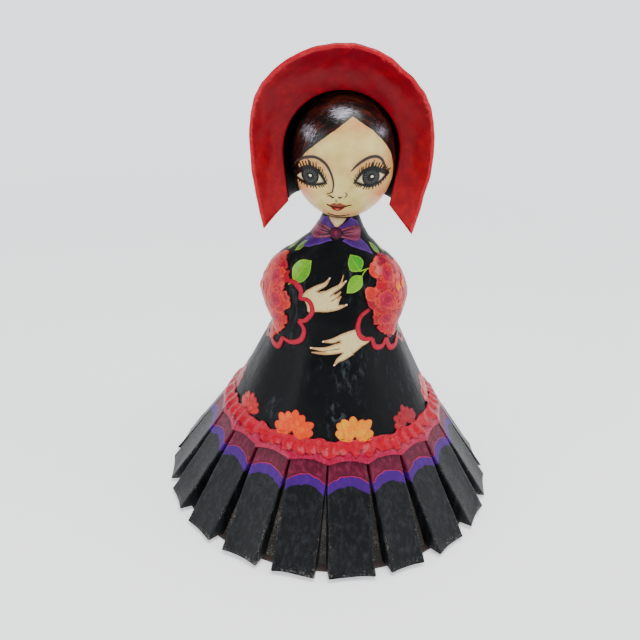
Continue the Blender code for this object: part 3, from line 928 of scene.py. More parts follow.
def makeBase(material):
    low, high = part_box("base_disc")
    turns = base["turns"]
    profile = [(0.6, high.z), (0.995, high.z), (1.0, high.z - 0.0004),
               (1.0, 0.0006), (0.997, low.z), (0.6, low.z)]
    verts = []
    for share, height in profile:
        for i in range(turns):
            turn = 2 * math.pi * i / turns
            wander = base["wander"] * noise.noise(Vector((4 * math.cos(turn), 4 * math.sin(turn), 0.3)))
            radius = (high.x + wander) * share
            verts.append((radius * math.cos(turn), radius * math.sin(turn), height))
    faces = gridFaces(len(profile), turns, wrap=True)
    top, bottom, last = len(verts), len(verts) + 1, (len(profile) - 1) * turns
    verts += [(0, 0, high.z), (0, 0, low.z)]
    faces += [(top, i, (i + 1) % turns) for i in range(turns)]
    faces += [(bottom, last + (i + 1) % turns, last + i) for i in range(turns)]
    return finishPiece(newPiece("baseCard", verts, faces, 40), material, ("base_disc",))


# painted motifs: thin skins of paint laid on the surface

motif = dict(step=0.0013, thickness=0.00016, sink=0.00025, layer=0.00009, roundEdge=0.0005, reach=0.3)


def curve(points, steps=7):
    # a smooth line through the points
    points = [Vector(p) for p in points]
    ends = [points[0] * 2 - points[1]] + points + [points[-1] * 2 - points[-2]]
    line = []
    for i in range(1, len(ends) - 2):
        a, b, c, d = ends[i - 1:i + 3]
        for k in range(steps):
            t = k / steps
            line.append(0.5 * ((2 * b) + (c - a) * t + (2 * a - 5 * b + 4 * c - d) * t * t
                               + (3 * b - a - 3 * c + d) * t**3))
    return line + [points[-1]]


def stroke(points, widths, steps=7):
    # a tapering brush stroke along a smooth line
    line = curve(points, steps)
    left, right = [], []
    for i, place in enumerate(line):
        ahead = (line[min(i + 1, len(line) - 1)] - line[max(i - 1, 0)]).normalized()
        share = i / (len(line) - 1) * (len(widths) - 1)
        low = min(int(share), len(widths) - 2)
        width = widths[low] + (widths[low + 1] - widths[low]) * (share - low)
        side = Vector((-ahead.y, ahead.x)) * max(width, 0.00015) / 2
        left.append(place + side)
        right.append(place - side)
    return left + right[::-1]


def oval(centre, wide, tall, turn=0.0, count=28):
    points = []
    for i in range(count):
        angle = 2 * math.pi * i / count
        x, y = wide * math.cos(angle), tall * math.sin(angle)
        across = centre[0] + x * math.cos(turn) - y * math.sin(turn)
        points.append(Vector((across, centre[1] + x * math.sin(turn) + y * math.cos(turn))))
    return points


def petal(root, angle, length, width, notches=3, seed=0.0):
    # a petal with a scalloped outer edge, pointing away from its root
    ahead = Vector((math.cos(angle), math.sin(angle)))
    side = Vector((-ahead.y, ahead.x))
    points = []
    for i in range(25):
        turn = -2.5 + 5.0 * i / 24
        bulge = 1 + 0.07 * math.cos(notches * turn * 1.4 + seed) + 0.05 * math.sin(5 * turn + seed * 3)
        out = root + ahead * length * (0.56 + 0.44 * math.cos(turn)) * bulge
        points.append(out + side * width / 2 * math.sin(turn) * bulge)
    return points


def surfaceOf(*pieces):
    verts, faces = [], []
    for piece in pieces:
        faces += [tuple(len(verts) + i for i in p.vertices) for p in piece.data.polygons]
        verts += [v.co for v in piece.data.vertices]
    return BVHTree.FromPolygons(verts, faces)


def stencil(surface, turn=0.0, height=0.0, tilt=0.0):
    # a flat sheet held against the figure at an angle round it; x runs to the viewer's right and y up
    turn, tilt = math.radians(turn), math.radians(tilt)
    right = Vector((math.cos(turn), math.sin(turn), 0))
    out = Vector((math.sin(turn) * math.cos(tilt), -math.cos(turn) * math.cos(tilt), math.sin(tilt)))
    return dict(surface=surface, right=right, up=out.cross(right), out=out, origin=Vector((0, 0, height)))


def insideAny(outlines, points):
    hit = np.zeros(len(points), dtype=bool)
    for outline in outlines:
        ring = np.array(outline)
        one = np.zeros(len(points), dtype=bool)
        for (x0, y0), (x1, y1) in zip(ring, np.roll(ring, -1, axis=0)):
            crosses = (y0 > points[:, 1]) != (y1 > points[:, 1])
            with np.errstate(divide="ignore", invalid="ignore"):
                one ^= crosses & (points[:, 0] < (x1 - x0) * (points[:, 1] - y0) / (y1 - y0) + x0)
        hit |= one
    return hit


def edgeDistance(outlines, points):
    # distance from the outer border of all the outlines together
    near = np.full(len(points), 1e3)
    for i, outline in enumerate(outlines):
        ring = np.array(outline)
        ends = np.roll(ring, -1, axis=0)
        hidden = insideAny(outlines[:i] + outlines[i + 1:], (ring + ends) / 2)
        for start, end in zip(ring[~hidden], ends[~hidden]):
            line = end - start
            share = np.clip(((points - start) @ line) / max(line @ line, 1e-12), 0, 1)
            near = np.minimum(near, np.linalg.norm(points - start - share[:, None] * line, axis=1))
    return near


def newBag():
    return dict(verts=[], faces=[], paint=[])


def layPaint(bag, sheet, outlines, colour, lift=0.0, step=None):
    # fills the outlines with triangles and lays them on the surface as a closed skin of paint
    # colour(x, y, edge) gives the paint at a point; edge is its distance from the nearest outline
    step = step or motif["step"]
    outlines = [[Vector((p[0], p[1])) for p in outline] for outline in outlines]
    coords, faces = [], []
    for outline in outlines:
        area = sum(a.x * b.y - b.x * a.y for a, b in zip(outline, outline[1:] + outline[:1]))
        ring = outline if area > 0 else outline[::-1]
        faces.append(list(range(len(coords), len(coords) + len(ring))))
        coords += ring
    corners = np.array([tuple(p) for p in coords])
    low, high = corners.min(0), corners.max(0)
    columns, rows = int((high[0] - low[0]) / step) + 1, int((high[1] - low[1]) / step) + 1
    lattice = np.array([(low[0] + (i + 0.5 * (j % 2)) * step, low[1] + j * step)
                        for j in range(rows + 1) for i in range(columns + 1)])
    rings = [[tuple(p) for p in outline] for outline in outlines]
    lattice = lattice[insideAny(rings, lattice)]
    if len(lattice):
        clear = [edgeDistance([ring], lattice) > step * 0.4 for ring in rings]
        lattice = lattice[np.all(clear, axis=0)]
    coords += [Vector(p) for p in lattice]
    flat, _, triangles = delaunay_2d_cdt(coords, [], faces, 1, 1e-7)[:3]
    points = np.array([tuple(p) for p in flat])
    gap = edgeDistance(rings, points)
    lifted, sunk, tints = [], [], []
    for (x, y), edge in zip(points, gap):
        start = sheet["origin"] + sheet["right"] * x + sheet["up"] * y + sheet["out"] * motif["reach"]
        place, normal = sheet["surface"].ray_cast(start, -sheet["out"], 0.4)[:2]
        if place is None:
            place, normal = sheet["surface"].find_nearest(start - sheet["out"] * motif["reach"])[:2]
        rounded = min(1.0, edge / motif["roundEdge"])
        height = motif["thickness"] * (0.45 + 0.55 * rounded) + lift
        lifted.append(place + normal * height)
        sunk.append(place - normal * motif["sink"])
        tints.append((*colour(x, y, edge), 1.0))
    start, count = len(bag["verts"]), len(points)
    bag["verts"] += lifted + sunk
    bag["paint"] += tints + tints
    border = {}
    for triangle in triangles:
        a, b, c = triangle
        area = (flat[b] - flat[a]).cross(flat[c] - flat[a])
        if abs(area) < 1e-13:
            continue
        if area < 0:
            a, b, c = c, b, a
        bag["faces"].append((start + a, start + b, start + c))
        bag["faces"].append((start + count + c, start + count + b, start + count + a))
        for edge in ((a, b), (b, c), (c, a)):
            if (edge[1], edge[0]) in border:
                del border[(edge[1], edge[0])]
            else:
                border[edge] = True
    for a, b in border:
        bag["faces"].append((start + b, start + a, start + count + a, start + count + b))


def finishMotif(name, bag, material):
    piece = newPiece(name, bag["verts"], bag["faces"], 40)
    giveValues(piece, "paint", bag["paint"])
    return finishPiece(piece, material)


def mix(first, second, share):
    share = max(0.0, min(1.0, share))
    return tuple(a + (b - a) * share for a, b in zip(first, second))


def plain(colour):
    return lambda x, y, edge: colour


def brushLine(bag, sheet, points, widths, colour, lift=0.0):
    layPaint(bag, sheet, [stroke(points, widths)], plain(colour), lift)


def rimmed(colour, rim, width=0.0009):
    # one colour with another along its edge
    return lambda x, y, edge: mix(rim, colour, (edge - width * 0.4) / (width * 0.6))


def fanned(root, inner, outer, rim, length, width=0.0008):
    # colour that changes from the root outwards, in ribs, with a rim of another colour
    def paint(x, y, edge):
        away = (Vector((x, y)) - root).length / length
        angle = math.atan2(y - root[1], x - root[0])
        rib = 0.5 + 0.5 * math.sin(angle * 22 + 3 * noise.noise(Vector((x, y, 0.3)) * 160))
        body = mix(inner, outer, away * 0.9 + 0.35 * (rib - 0.5))
        return mix(rim, body, (edge - width * 0.35) / (width * 0.65))
    return paint


def mm(*points):
    return [Vector((x / 1000, y / 1000)) for x, y in points]


# flowers

def rose(bag, sheet, centre, radius, seed, outer, lift=0.0):
    # loose ring of wide petals round a ring of small ones and a crimson heart
    chance = random.Random(seed)
    centre = Vector((centre[0] / 1000, centre[1] / 1000))
    radius = radius / 1000
    layer = motif["layer"]
    for ring, (count, size, out) in enumerate(((7, 0.64, 0.40), (6, 0.44, 0.30))):
        for i in range(count):
            angle = 2 * math.pi * (i + chance.uniform(-0.2, 0.2)) / count + ring * 0.5 + seed
            root = centre + Vector((math.cos(angle), math.sin(angle))) * radius * out
            length = radius * size * chance.uniform(0.9, 1.12)
            shade = outer[(i + seed) % len(outer)]
            deep = mix(shade, (0.17, 0.0004, 0.010), 0.75)
            outline = petal(root, angle + chance.uniform(-0.2, 0.2), length, length * 1.3, 3,
                            chance.uniform(0, 6))
            light = mix(shade, (0.70, 0.12, 0.07), chance.uniform(0.1, 0.45))
            layPaint(bag, sheet, [outline], fanned(centre, deep, shade, light, radius),
                     lift + layer * (ring * 3 + i % 3))
    heart = [centre + Vector((math.cos(a), math.sin(a) * 1.15)) * radius * 0.5
             * (1 + 0.08 * math.sin(5 * a + seed))
             for a in np.linspace(0, 2 * math.pi, 40, endpoint=False)]
    heartRim = mix(colours["coral"], colours["pink"], 0.3)
    heartPaint = fanned(centre, (0.22, 0.0006, 0.022), (0.36, 0.0020, 0.030), heartRim, radius * 0.5, 0.0009)
    layPaint(bag, sheet, [heart], heartPaint, lift + layer * 7)
    for i in range(3):
        angle = seed + i * 2.1
        place = centre + Vector((math.cos(angle), math.sin(angle))) * radius * 0.1
        arc = [place + Vector((math.cos(angle + t), math.sin(angle + t))) * radius * 0.17
               for t in (-1.0, 0.0, 1.0)]
        brushLine(bag, sheet, arc, [0.0003, 0.0011, 0.0003], (0.46, 0.008, 0.04), lift + layer * 9)


def fanFlower(bag, sheet, centre, width, main, light, dark, seed):
    # an open flower seen from the side: rounded petals fanned out from a low root
    chance = random.Random(seed)
    root = Vector((centre[0] / 1000, centre[1] / 1000))
    size = width / 1000
    order = [(-84, 0.50), (84, 0.49), (-60, 0.50), (60, 0.48), (-33, 0.44), (34, 0.43), (0, 0.45),
             (-66, 0.32), (66, 0.32), (-26, 0.28), (27, 0.27), (0, 0.18)]
    for i, (lean, length) in enumerate(order):
        angle = math.radians(90 + lean + chance.uniform(-5, 5))
        reach = size * length * chance.uniform(0.92, 1.08)
        ahead = Vector((math.cos(angle), math.sin(angle)))
        outline = oval(root + ahead * reach * 0.54, reach * 0.5, size * (0.125 if i < 7 else 0.105), angle)
        tone = mix(main, light if i % 2 else dark, chance.uniform(0.05, 0.45))
        petalPaint = fanned(root, mix(main, dark, 0.5), tone, dark, reach, 0.0012)
        layPaint(bag, sheet, [outline], petalPaint, motif["layer"] * (i % 3 + (3 if i > 6 else 0)))


def leaf(bag, sheet, root, tip, bulge, main, light, lift=0.0):
    # pointed leaf with a paler midrib and side veins
    root, tip = Vector(root) / 1000, Vector(tip) / 1000
    ahead = tip - root
    side = Vector((-ahead.y, ahead.x)).normalized() * bulge / 1000
    left = curve([root, root + ahead * 0.3 + side, root + ahead * 0.7 + side * 0.82, tip])
    right = curve([tip, root + ahead * 0.62 - side * 0.85, root + ahead * 0.25 - side * 0.9, root])

    def paint(x, y, edge):
        place = Vector((x, y)) - root
        across = place.dot(side.normalized()) / side.length
        along = place.dot(ahead) / ahead.length_squared
        tone = mix(main, light, 0.5 + 0.5 * across)
        vein = abs(math.sin((along * 1.0 - abs(across) * 0.45) * 15))
        tone = mix(light, tone, 0.65 + vein * 0.5)
        return mix(colours["leafPale"], tone, edge / 0.0005)

    layPaint(bag, sheet, [left + right[1:-1]], paint, lift, 0.001)
    rib = stroke([root, root + ahead * 0.5 + side * 0.06, root + ahead * 0.93], [0.0006, 0.0004, 0.0002])
    layPaint(bag, sheet, [rib], plain(mix(colours["leafPale"], light, 0.3)), lift + motif["layer"] * 2)


def paintRoses(body):
    bag = newBag()
    warm = [colours["coral"], mix(colours["coral"], colours["red"], 0.5),
            mix(colours["coral"], colours["pink"], 0.3)]
    hot = [colours["hotRed"], colours["coral"], colours["red"]]
    rosy = [colours["pink"], colours["coral"], colours["rose"]]
    # left and right clusters differ a little, as hand painting does
    clusters = {
        -1: [((-34, 178), 14, warm, 0), ((-21, 190), 11, rosy, 1), ((-14, 197), 8.5, warm, 3),
             ((-19, 163), 13, warm, 2), ((-27, 173), 12, warm, 4), ((-15, 178), 12, warm, 5),
             ((-3, 153), 9, warm, 4), ((-9, 143), 6.5, rosy, 5)],
        1: [((34, 178), 14, warm, 0), ((20, 190), 11, warm, 1), ((6, 199), 8.5, rosy, 3),
            ((19, 163), 13, warm, 2), ((27, 173), 12, rosy, 4), ((13, 178), 12, warm, 5),
            ((-2, 155), 9, rosy, 4), ((5, 164), 11, warm, 5)],
    }
    blooms = {
        -1: [((-27, 158.5), 10.5, warm, 7), ((-28, 191), 10.0, hot, 8), ((-24.5, 176), 10.5, hot, 9)],
        1: [((18.5, 196), 9.5, rosy, 7), ((25, 186), 9.0, rosy, 6), ((16.5, 163.5), 10.5, hot, 8),
            ((15.0, 180), 11.5, hot, 9)],
    }
    spots = {-1: ((-21, 182, 7), (-24, 174, 6), (-19, 190, 5)), 1: ((3, 191, 8), (6, 183, 8), (0, 185, 6))}
    spotPaint = (colours["orange"], colours["yellow"], colours["pink"])
    for side in (-1, 1):
        rows = [(60, *row) for row in clusters[side]] + [(30, *row) for row in blooms[side]]
        for i, (turn, centre, radius, shades, level) in enumerate(rows):
            rose(bag, stencil(body, turn * side), centre, radius, 3 + i * 2 + side, shades, level * 0.0002)
        sleeve = stencil(body, 60 * side)
        for x, y, size in spots[side]:
            root = Vector((x / 1000, y / 1000))
            spot = petal(root, 1.2 + x, size / 1000, size * 0.7 / 1000)
            layPaint(bag, sleeve, [spot], fanned(root, *spotPaint, 0.007), 0.0021)
    return finishMotif("sleeveRoses", bag, roseVarnish)


def paintHemFlowers(body):
    bag = newBag()
    coral = (colours["coral"], colours["pink"], (0.30, 0.001, 0.012))
    orange = (colours["orange"], (0.88, 0.20, 0.001), (0.66, 0.030, 0.0005))
    yellow = (colours["yellow"], (0.88, 0.44, 0.002), (0.72, 0.13, 0.0005))
    ruby = (colours["red"], colours["coral"], (0.22, 0.0006, 0.012))
    kinds = [(-57, 26, coral), (-22, 31, orange), (12, 31, yellow), (46, 25, ruby), (84, 36, coral),
             (120, 30, orange), (156, 31, yellow), (192, 28, coral), (228, 31, orange), (266, 36, ruby)]
    for seed, (turn, width, paints) in enumerate(kinds):
        fanFlower(bag, stencil(body, turn), (0, 85.4), width, *paints, seed + 2)
    return finishMotif("hemFlowers", bag, roseVarnish)


def paintLeaves(body):
    bag = newBag()
    front = stencil(body)
    green, deep, pale = (0.085, 0.28, 0.004), colours["leafDeep"], (0.15, 0.36, 0.014)
    leaf(bag, front, (-34.5, 190), (-21, 204), 6.4, (0.045, 0.20, 0.010), pale)
    leaf(bag, front, (16.5, 198), (8, 210), 5.6, deep, green)
    leaf(bag, front, (18, 195), (6.5, 183.0), 5.2, green, pale)
    stems = (((24, 200), (20, 199.2), (16.5, 198.2)), ((21, 199), (19, 197), (18, 195)),
             ((-34.5, 190), (-38, 188)))
    for points in stems:
        brushLine(bag, front, mm(*points), [0.0009, 0.0006], colours["leafPale"])
    backLeaves = (((-26, 196), (-12, 206)), ((-24, 180), (-9, 176)), ((-28, 166), (-16, 154)))
    for side in (-1, 1):
        shoulder = stencil(body, 66 * side)
        leaf(bag, shoulder, (side * 4, 208), (side * 1, 217), 2.6, (0.05, 0.11, 0.03), (0.10, 0.20, 0.06))
        leaf(bag, shoulder, (side * 12, 207), (side * 14, 216), 2.8, (0.05, 0.11, 0.03), (0.10, 0.20, 0.06))
        leaf(bag, shoulder, (side * 14, 150), (side * 21, 137), 4.5, deep, green)
        back = stencil(body, 150 * side)
        for (rootX, rootY), (tipX, tipY) in backLeaves:
            leaf(bag, back, (side * rootX, rootY), (side * tipX, tipY), 5.5, deep, green)
    return finishMotif("paintedLeaves", bag, leafVarnish)


def paintCuffs(body):
    # scalloped crimson lines along the edges of the painted sleeves
    bag = newBag()
    scallops = [
        ((-40, 190.5), (-33.5, 189.5), (-28.6, 183.5), (-29.0, 177)),
        ((-29.0, 177), (-21.8, 175.8), (-18.8, 169), (-23.5, 162), (-29.0, 160.5)),
        ((-29.0, 160.5), (-24.5, 155), (-26.5, 147.5), (-34, 143), (-41, 143.5)),
        ((-41, 143.5), (-44, 137), (-49, 136.5), (-51.5, 141)),
        ((24.5, 171), (18.0, 166.5), (16.0, 158.5), (19.5, 151.5), (27.5, 149.5)),
        ((27.5, 149.5), (30, 143.5), (36, 142), (39, 147)),
        ((39, 147), (42, 139.5), (47, 138.5), (49.5, 144)),
    ]
    crimson = rimmed((0.36, 0.0008, 0.022), (0.24, 0.0005, 0.012), 0.0007)
    widths = [0.0026, 0.0036, 0.0026]
    front = stencil(body)
    for points in scallops:
        layPaint(bag, front, [stroke(mm(*points), widths)], crimson, 0.0007)
    for side in (-1, 1):
        sheet = stencil(body, 112 * side)
        for i in range(5):
            x = side * (-34 + i * 12)
            points = ((x, 141), (x + side * 3, 135), (x + side * 9, 135), (x + side * 12, 141))
            layPaint(bag, sheet, [stroke(mm(*points), widths)], crimson, 0.0001)
    return finishMotif("cuffScallops", bag, roseVarnish)


def paintBow(body):
    bag = newBag()
    front = stencil(body)
    layer = motif["layer"]
    violet, dark = (0.036, 0.0014, 0.110), (0.012, 0.001, 0.008)
    ribbon = rimmed(violet, (0.085, 0.014, 0.22), 0.0010)
    tails = [mm((-8, 221), (-17, 223.5), (-26, 217), (-32, 211), (-24, 212.5), (-15, 216), (-6, 219.5)),
             mm((1.5, 219.5), (9, 215.5), (16, 213), (26, 208.5), (21, 215.5), (14, 222), (4, 221))]
    layPaint(bag, front, tails, ribbon, 0.0)
    collar = [mm((-14.5, 234.5), (-10, 236), (-3.4, 228.4), (-9.5, 227), (-18, 228)),
              mm((7.6, 236.5), (12.5, 233), (15, 227.5), (5, 226.5), (-3.0, 228.4))]
    layPaint(bag, front, collar, ribbon, layer)
    lobes = [curve(mm((-4.5, 227.5), (-13, 229.8), (-21, 229.5), (-22.5, 224.5), (-20.5, 219), (-12, 220.5),
                      (-4.5, 222.5))),
             curve(mm((-2.3, 227.5), (6, 229.8), (13.5, 229.8), (15.5, 224.5), (14, 219), (6, 220.5),
                      (-2.3, 222.5)))]

    def fold(x, y, edge):
        ray = math.atan2(y - 0.2248, abs(x + 0.0034) + 0.002)
        crease = 0.5 + 0.5 * math.sin(ray * 17 + 1)
        tone = mix((0.10, 0.004, 0.030), (0.28, 0.045, 0.10), crease * 0.8)
        return mix(dark, tone, edge / 0.0008)

    layPaint(bag, front, lobes, fold, layer * 3, 0.0009)
    for side in (-1, 1):
        for lean, reach in ((0.32, 9), (0.05, 10.5), (-0.25, 9)):
            start = Vector((-3.4 + side * 4.5, 224.8 + lean * 3))
            end = start + Vector((side * reach, lean * reach))
            middle = (start + end) / 2 + Vector((0, lean * 1.5))
            brushLine(bag, front, mm(start, middle, end), [0.0010, 0.0007, 0.0002], dark, layer * 5)
    knot, heart = oval((-0.0034, 0.2248), 0.0046, 0.0044), oval((-0.0034, 0.2250), 0.0022, 0.0024)
    layPaint(bag, front, [knot], rimmed((0.085, 0.002, 0.024), dark, 0.0016), layer * 6, 0.0009)
    layPaint(bag, front, [heart], rimmed((0.17, 0.008, 0.045), dark, 0.0009), layer * 8, 0.0009)
    return finishMotif("ribbonBow", bag, bowVarnish)


def paintHands(body):
    # ivory hands and the bare neck, shaded tan along their edges
    bag = newBag()
    front = stencil(body)
    layer = motif["layer"]
    pale, shade = (0.54, 0.44, 0.20), (0.36, 0.18, 0.065)
    skin = rimmed(pale, shade, 0.0013)
    neck = mm((-10.5, 236.8), (-7.5, 232.8), (-3.4, 228.2), (1.4, 232.2), (6.5, 236.8))

    # the neck darkens to brown towards the top: painted shadow under the chin
    def neckPaint(x, y, edge):
        return mix(skin(x, y, edge), (0.20, 0.10, 0.05), (y - 0.2325) / 0.004)

    layPaint(bag, front, [neck], neckPaint, layer * 2)
    # each hand is a palm or the back of a hand and its fingers
    upper = [curve(mm((-27.0, 179.5), (-22.5, 173.5), (-21.0, 168.6), (-14, 169.6), (-6, 170.2), (0.5, 173.5),
                      (2.0, 178.5), (-2, 183), (-8, 184.6), (-14, 183.6), (-19, 185.2), (-24, 182.5))),
             stroke(mm((-21, 181.5), (-14, 186.5), (-8, 189.8), (-4.4, 194.6)),
                    [0.0058, 0.0040, 0.0028, 0.0008]),
             stroke(mm((-9, 181), (-2, 185.8), (4, 189.4), (8.2, 193.2)), [0.0056, 0.0040, 0.0028, 0.0008]),
             stroke(mm((1.5, 188), (4.2, 191.8), (5.6, 197.0)), [0.0018, 0.0014, 0.0005]),
             stroke(mm((-5, 178), (0, 181), (4.2, 185.2)), [0.0050, 0.0036, 0.0010]),
             stroke(mm((-3, 176), (1.5, 178.6), (4.4, 182.0)), [0.0046, 0.0032, 0.0010]),
             stroke(mm((-6, 173.4), (2, 174.2), (9.6, 176.2)), [0.0058, 0.0036, 0.0007])]
    palmShift, fingerShift = Vector((-0.0010, -0.0006)), Vector((-0.0020, -0.0012))
    upper = [[p + (fingerShift if i else palmShift) for p in outline] for i, outline in enumerate(upper)]
    lower = [curve(mm((14.8, 158.2), (20, 153.5), (26.0, 148.6), (20, 145.6), (14, 141.8), (9, 140.5),
                      (5, 143.5), (3.2, 148), (4.5, 153), (9, 156.8))),
             stroke(mm((11, 154.2), (4.5, 152.6), (-2.5, 149.8), (-10.5, 148.6)),
                    [0.0060, 0.0046, 0.0034, 0.0010]),
             stroke(mm((8, 147.5), (0, 145.6), (-8, 143.6), (-19.6, 143.4)),
                    [0.0054, 0.0042, 0.0030, 0.0010]),
             stroke(mm((8, 144.5), (0, 142.6), (-8, 141.0), (-18.2, 140.6)),
                    [0.0050, 0.0036, 0.0024, 0.0008]),
             stroke(mm((12, 143.5), (6, 139.2), (2, 136.6), (-1.0, 132.6)), [0.0062, 0.0046, 0.0030, 0.0006])]
    for hand in (upper, lower):
        layPaint(bag, front, hand, skin, layer, 0.001)
    creases = (
        ((-6, 180.3), (-2, 183), (2.5, 186.3)), ((-5, 177), (-1.8, 179), (1, 182)),
        ((-15, 182.8), (-11.5, 181.3)), ((3, 144.6), (-3, 143.4), (-9, 142.2)),
        ((5, 141.8), (1, 141.0)), ((2, 150.2), (-1, 147.6)),
    )
    for points in creases:
        brushLine(bag, front, mm(*points), [0.0007, 0.0004, 0.0002], (0.10, 0.045, 0.02), layer * 4)
    nails = ((5.4, 191.1), (-6.8, 192.7), (6.6, 175.0), (-18.6, 143.4), (-0.6, 133.3), (-9.7, 148.7))
    for x, y in nails:
        nail = oval((x / 1000, y / 1000), 0.0008, 0.0005, 0.6, 10)
        layPaint(bag, front, [nail], plain((0.66, 0.58, 0.42)), layer * 4)
    return finishMotif("paintedHands", bag, skinVarnish)


def paintFace(headPiece):
    # features of a painted doll: long-lashed eyes under arched brows, small nose, small red mouth
    bag = newBag()
    front = stencil(surfaceOf(headPiece), 0.0, headCentre)
    layer = motif["layer"]
    ink = colours["ink"]
    for side, cx, cy, corner in ((-1, -23.8, -8.8, -3.2), (1, 18.7, -7.2, 1.2)):

        def at(x, y):
            return (cx + side * x, cy + y)

        lidTop = [at(-11.0, -3.0), at(-6.5, 3.4), at(0.5, 6.3), at(7.2, 3.4 + corner * 0.35),
                  at(12.0, corner)]
        lidLow = [at(12.0, corner), at(7.5, -3.9 + corner * 0.3), at(0.5, -6.2), at(-6.0, -5.2),
                  at(-11.0, -3.0)]
        white = curve(mm(*lidTop)) + curve(mm(*lidLow))[1:-1]
        layPaint(bag, front, [white], rimmed((0.60, 0.52, 0.30), (0.16, 0.10, 0.05), 0.0022), layer, 0.0009)
        eye = Vector((cx / 1000, (cy - 0.1) / 1000))
        layPaint(bag, front, [oval(eye, 0.0064, 0.0060)], rimmed((0.011, 0.0125, 0.0115), ink, 0.0018),
                 layer * 3, 0.0007)
        for i in range(18):
            angle = 2 * math.pi * i / 18 + 0.1
            ray = Vector((math.cos(angle), math.sin(angle)))
            spoke = [eye + ray * 0.0028, eye + ray * 0.0049]
            brushLine(bag, front, spoke, [0.0002, 0.0005], (0.050, 0.056, 0.046), layer * 5)
        layPaint(bag, front, [oval(eye, 0.0027, 0.0027)], plain(ink), layer * 6)
        glint = oval(eye + Vector((0.0005, 0.0006)), 0.0010, 0.0008, 0, 14)
        layPaint(bag, front, [glint], plain((0.75, 0.70, 0.55)), layer * 8)
        topLine = mm(at(-12.0, -4.2), *lidTop[1:], at(13.0, corner + 1.0))
        brushLine(bag, front, topLine, [0.0006, 0.0021, 0.0031, 0.0028, 0.0008], ink, layer * 7)
        brushLine(bag, front, mm(*lidLow), [0.0009, 0.0016, 0.0021, 0.0015, 0.0009], ink, layer * 7)
        # the lids' lines with their number of lashes, length, spread and direction
        lashes = ((curve(mm(*lidTop), 8), 18, 0.0043, 1.5, 1), (curve(mm(*lidLow), 8), 14, 0.0028, -1.5, -1))
        for line, count, reach, spread, sign in lashes:
            for i in range(count):
                share = (i + 0.5) / count
                place = line[int(share * (len(line) - 1))]
                lean = Vector((side * (share - 0.42) * spread, sign)).normalized()
                length = reach * (0.75 + 0.35 * math.sin(share * math.pi) + 0.14 * math.sin(i * 2.3))
                bend = Vector((side * 0.0005 * (1 if sign > 0 else -0.5), 0.0))
                lash = [place, place + lean * length * 0.5 + bend * 0.3, place + lean * length + bend]
                layPaint(bag, front, [stroke(lash, [0.0008, 0.0005, 0.0002], 3)], plain(ink), layer * 6)
    browInk = (0.030, 0.022, 0.018)
    # brows, nose, and a painted shadow line under the chin: places and widths in millimetres
    lines = [
        (((-35.5, -3.6), (-32.5, 0.2), (-27.5, 3.4), (-20.5, 4.7), (-13.8, 1.6), (-9.3, -5.0), (-7.2, -12.5),
          (-7.8, -19.0)), (0.6, 1.6, 2.1, 2.0, 1.8, 1.3, 1.1, 0.8)),
        (((4.6, -2.8), (7.5, 0.6), (11.5, 3.8), (16.6, 6.4), (22.2, 6.6), (26.6, 3.4), (29.4, -3.6)),
         (0.6, 1.5, 1.9, 2.1, 2.0, 1.6, 0.7)),
        (((-11.8, -20.6), (-10.0, -20.0), (-8.0, -18.8)), (0.3, 0.5, 0.7)),
        (((-11.0, -22.3), (-9.2, -21.8), (-7.4, -23.0), (-6.0, -22.4)), (0.3, 0.9, 1.1, 0.3)),
        (((-3.6, -22.2), (-2.0, -22.9), (-0.6, -21.8)), (0.3, 1.1, 0.3)),
        (((1.2, -18.4), (2.8, -20.4), (1.2, -22.6)), (0.4, 0.6, 0.3)),
        (((-5.0, -24.6), (-4.4, -26.8)), (0.5, 0.3)),
        (((-10.5, -38.6), (-2.4, -40.2), (6.0, -38.4)), (0.4, 1.3, 0.4)),
    ]
    for points, widths in lines:
        brushLine(bag, front, mm(*points), [w / 1000 for w in widths], browInk, layer * 4)
    upperLip = curve(mm((-9.4, -29.6), (-7.6, -28.6), (-5.9, -27.6), (-4.4, -28.4)))
    upperLip += curve(mm((-4.4, -28.4), (-2.0, -27.4), (0.6, -28.4), (4.0, -29.4)))
    parting = mm((4.0, -29.4), (0.8, -30.2), (-2.2, -30.9), (-4.6, -30.4), (-7.2, -30.8), (-9.4, -29.6))
    lowerLip = curve(mm((-8.6, -30.0), (-7.2, -33.0), (-3.8, -34.5), (-0.6, -33.4), (2.6, -30.0)))
    upperPaint = rimmed((0.21, 0.045, 0.030), (0.20, 0.060, 0.030), 0.0006)
    lowerPaint = rimmed((0.18, 0.012, 0.010), (0.12, 0.013, 0.009), 0.0010)
    layPaint(bag, front, [upperLip + curve(parting)[1:-1]], upperPaint, layer * 3, 0.0008)
    layPaint(bag, front, [lowerLip + curve(parting[1:5])], lowerPaint, layer * 2, 0.0008)
    mouthLine = mm((-11.4, -29.0), (-8, -30.6), (-4.6, -30.5), (-2.2, -31.0), (1.8, -30.0), (6.6, -28.5))
    brushLine(bag, front, mouthLine, [0.0004, 0.0010, 0.0011, 0.0010, 0.0008, 0.0003], (0.045, 0.006, 0.004),
              layer * 5)
    layPaint(bag, front, [oval((-0.0036, -0.0326), 0.0016, 0.0005, 0, 12)], plain((0.44, 0.12, 0.09)),
             layer * 4)
    return finishMotif("faceFeatures", bag, featureVarnish)


# room, light and camera

room = dict(
    flat=2.4, cove=1.2, turns=96, coveSteps=12, frontRim=0.4, extraRim=0.9,
    key=25.0, side=5.0, front=11.0, skyBack=0.55, skyFront=0.02, nearGlow=0.55, farGlow=1.3,
    near=(0.84, 0.85, 0.86), nearLight=(0.88, 0.885, 0.89), far=(0.60, 0.61, 0.62),
)
view = dict(place=(-0.0128, -0.4834, 0.3649), down=24.49, roll=2.3, lens=36.0, sensor=36.0)


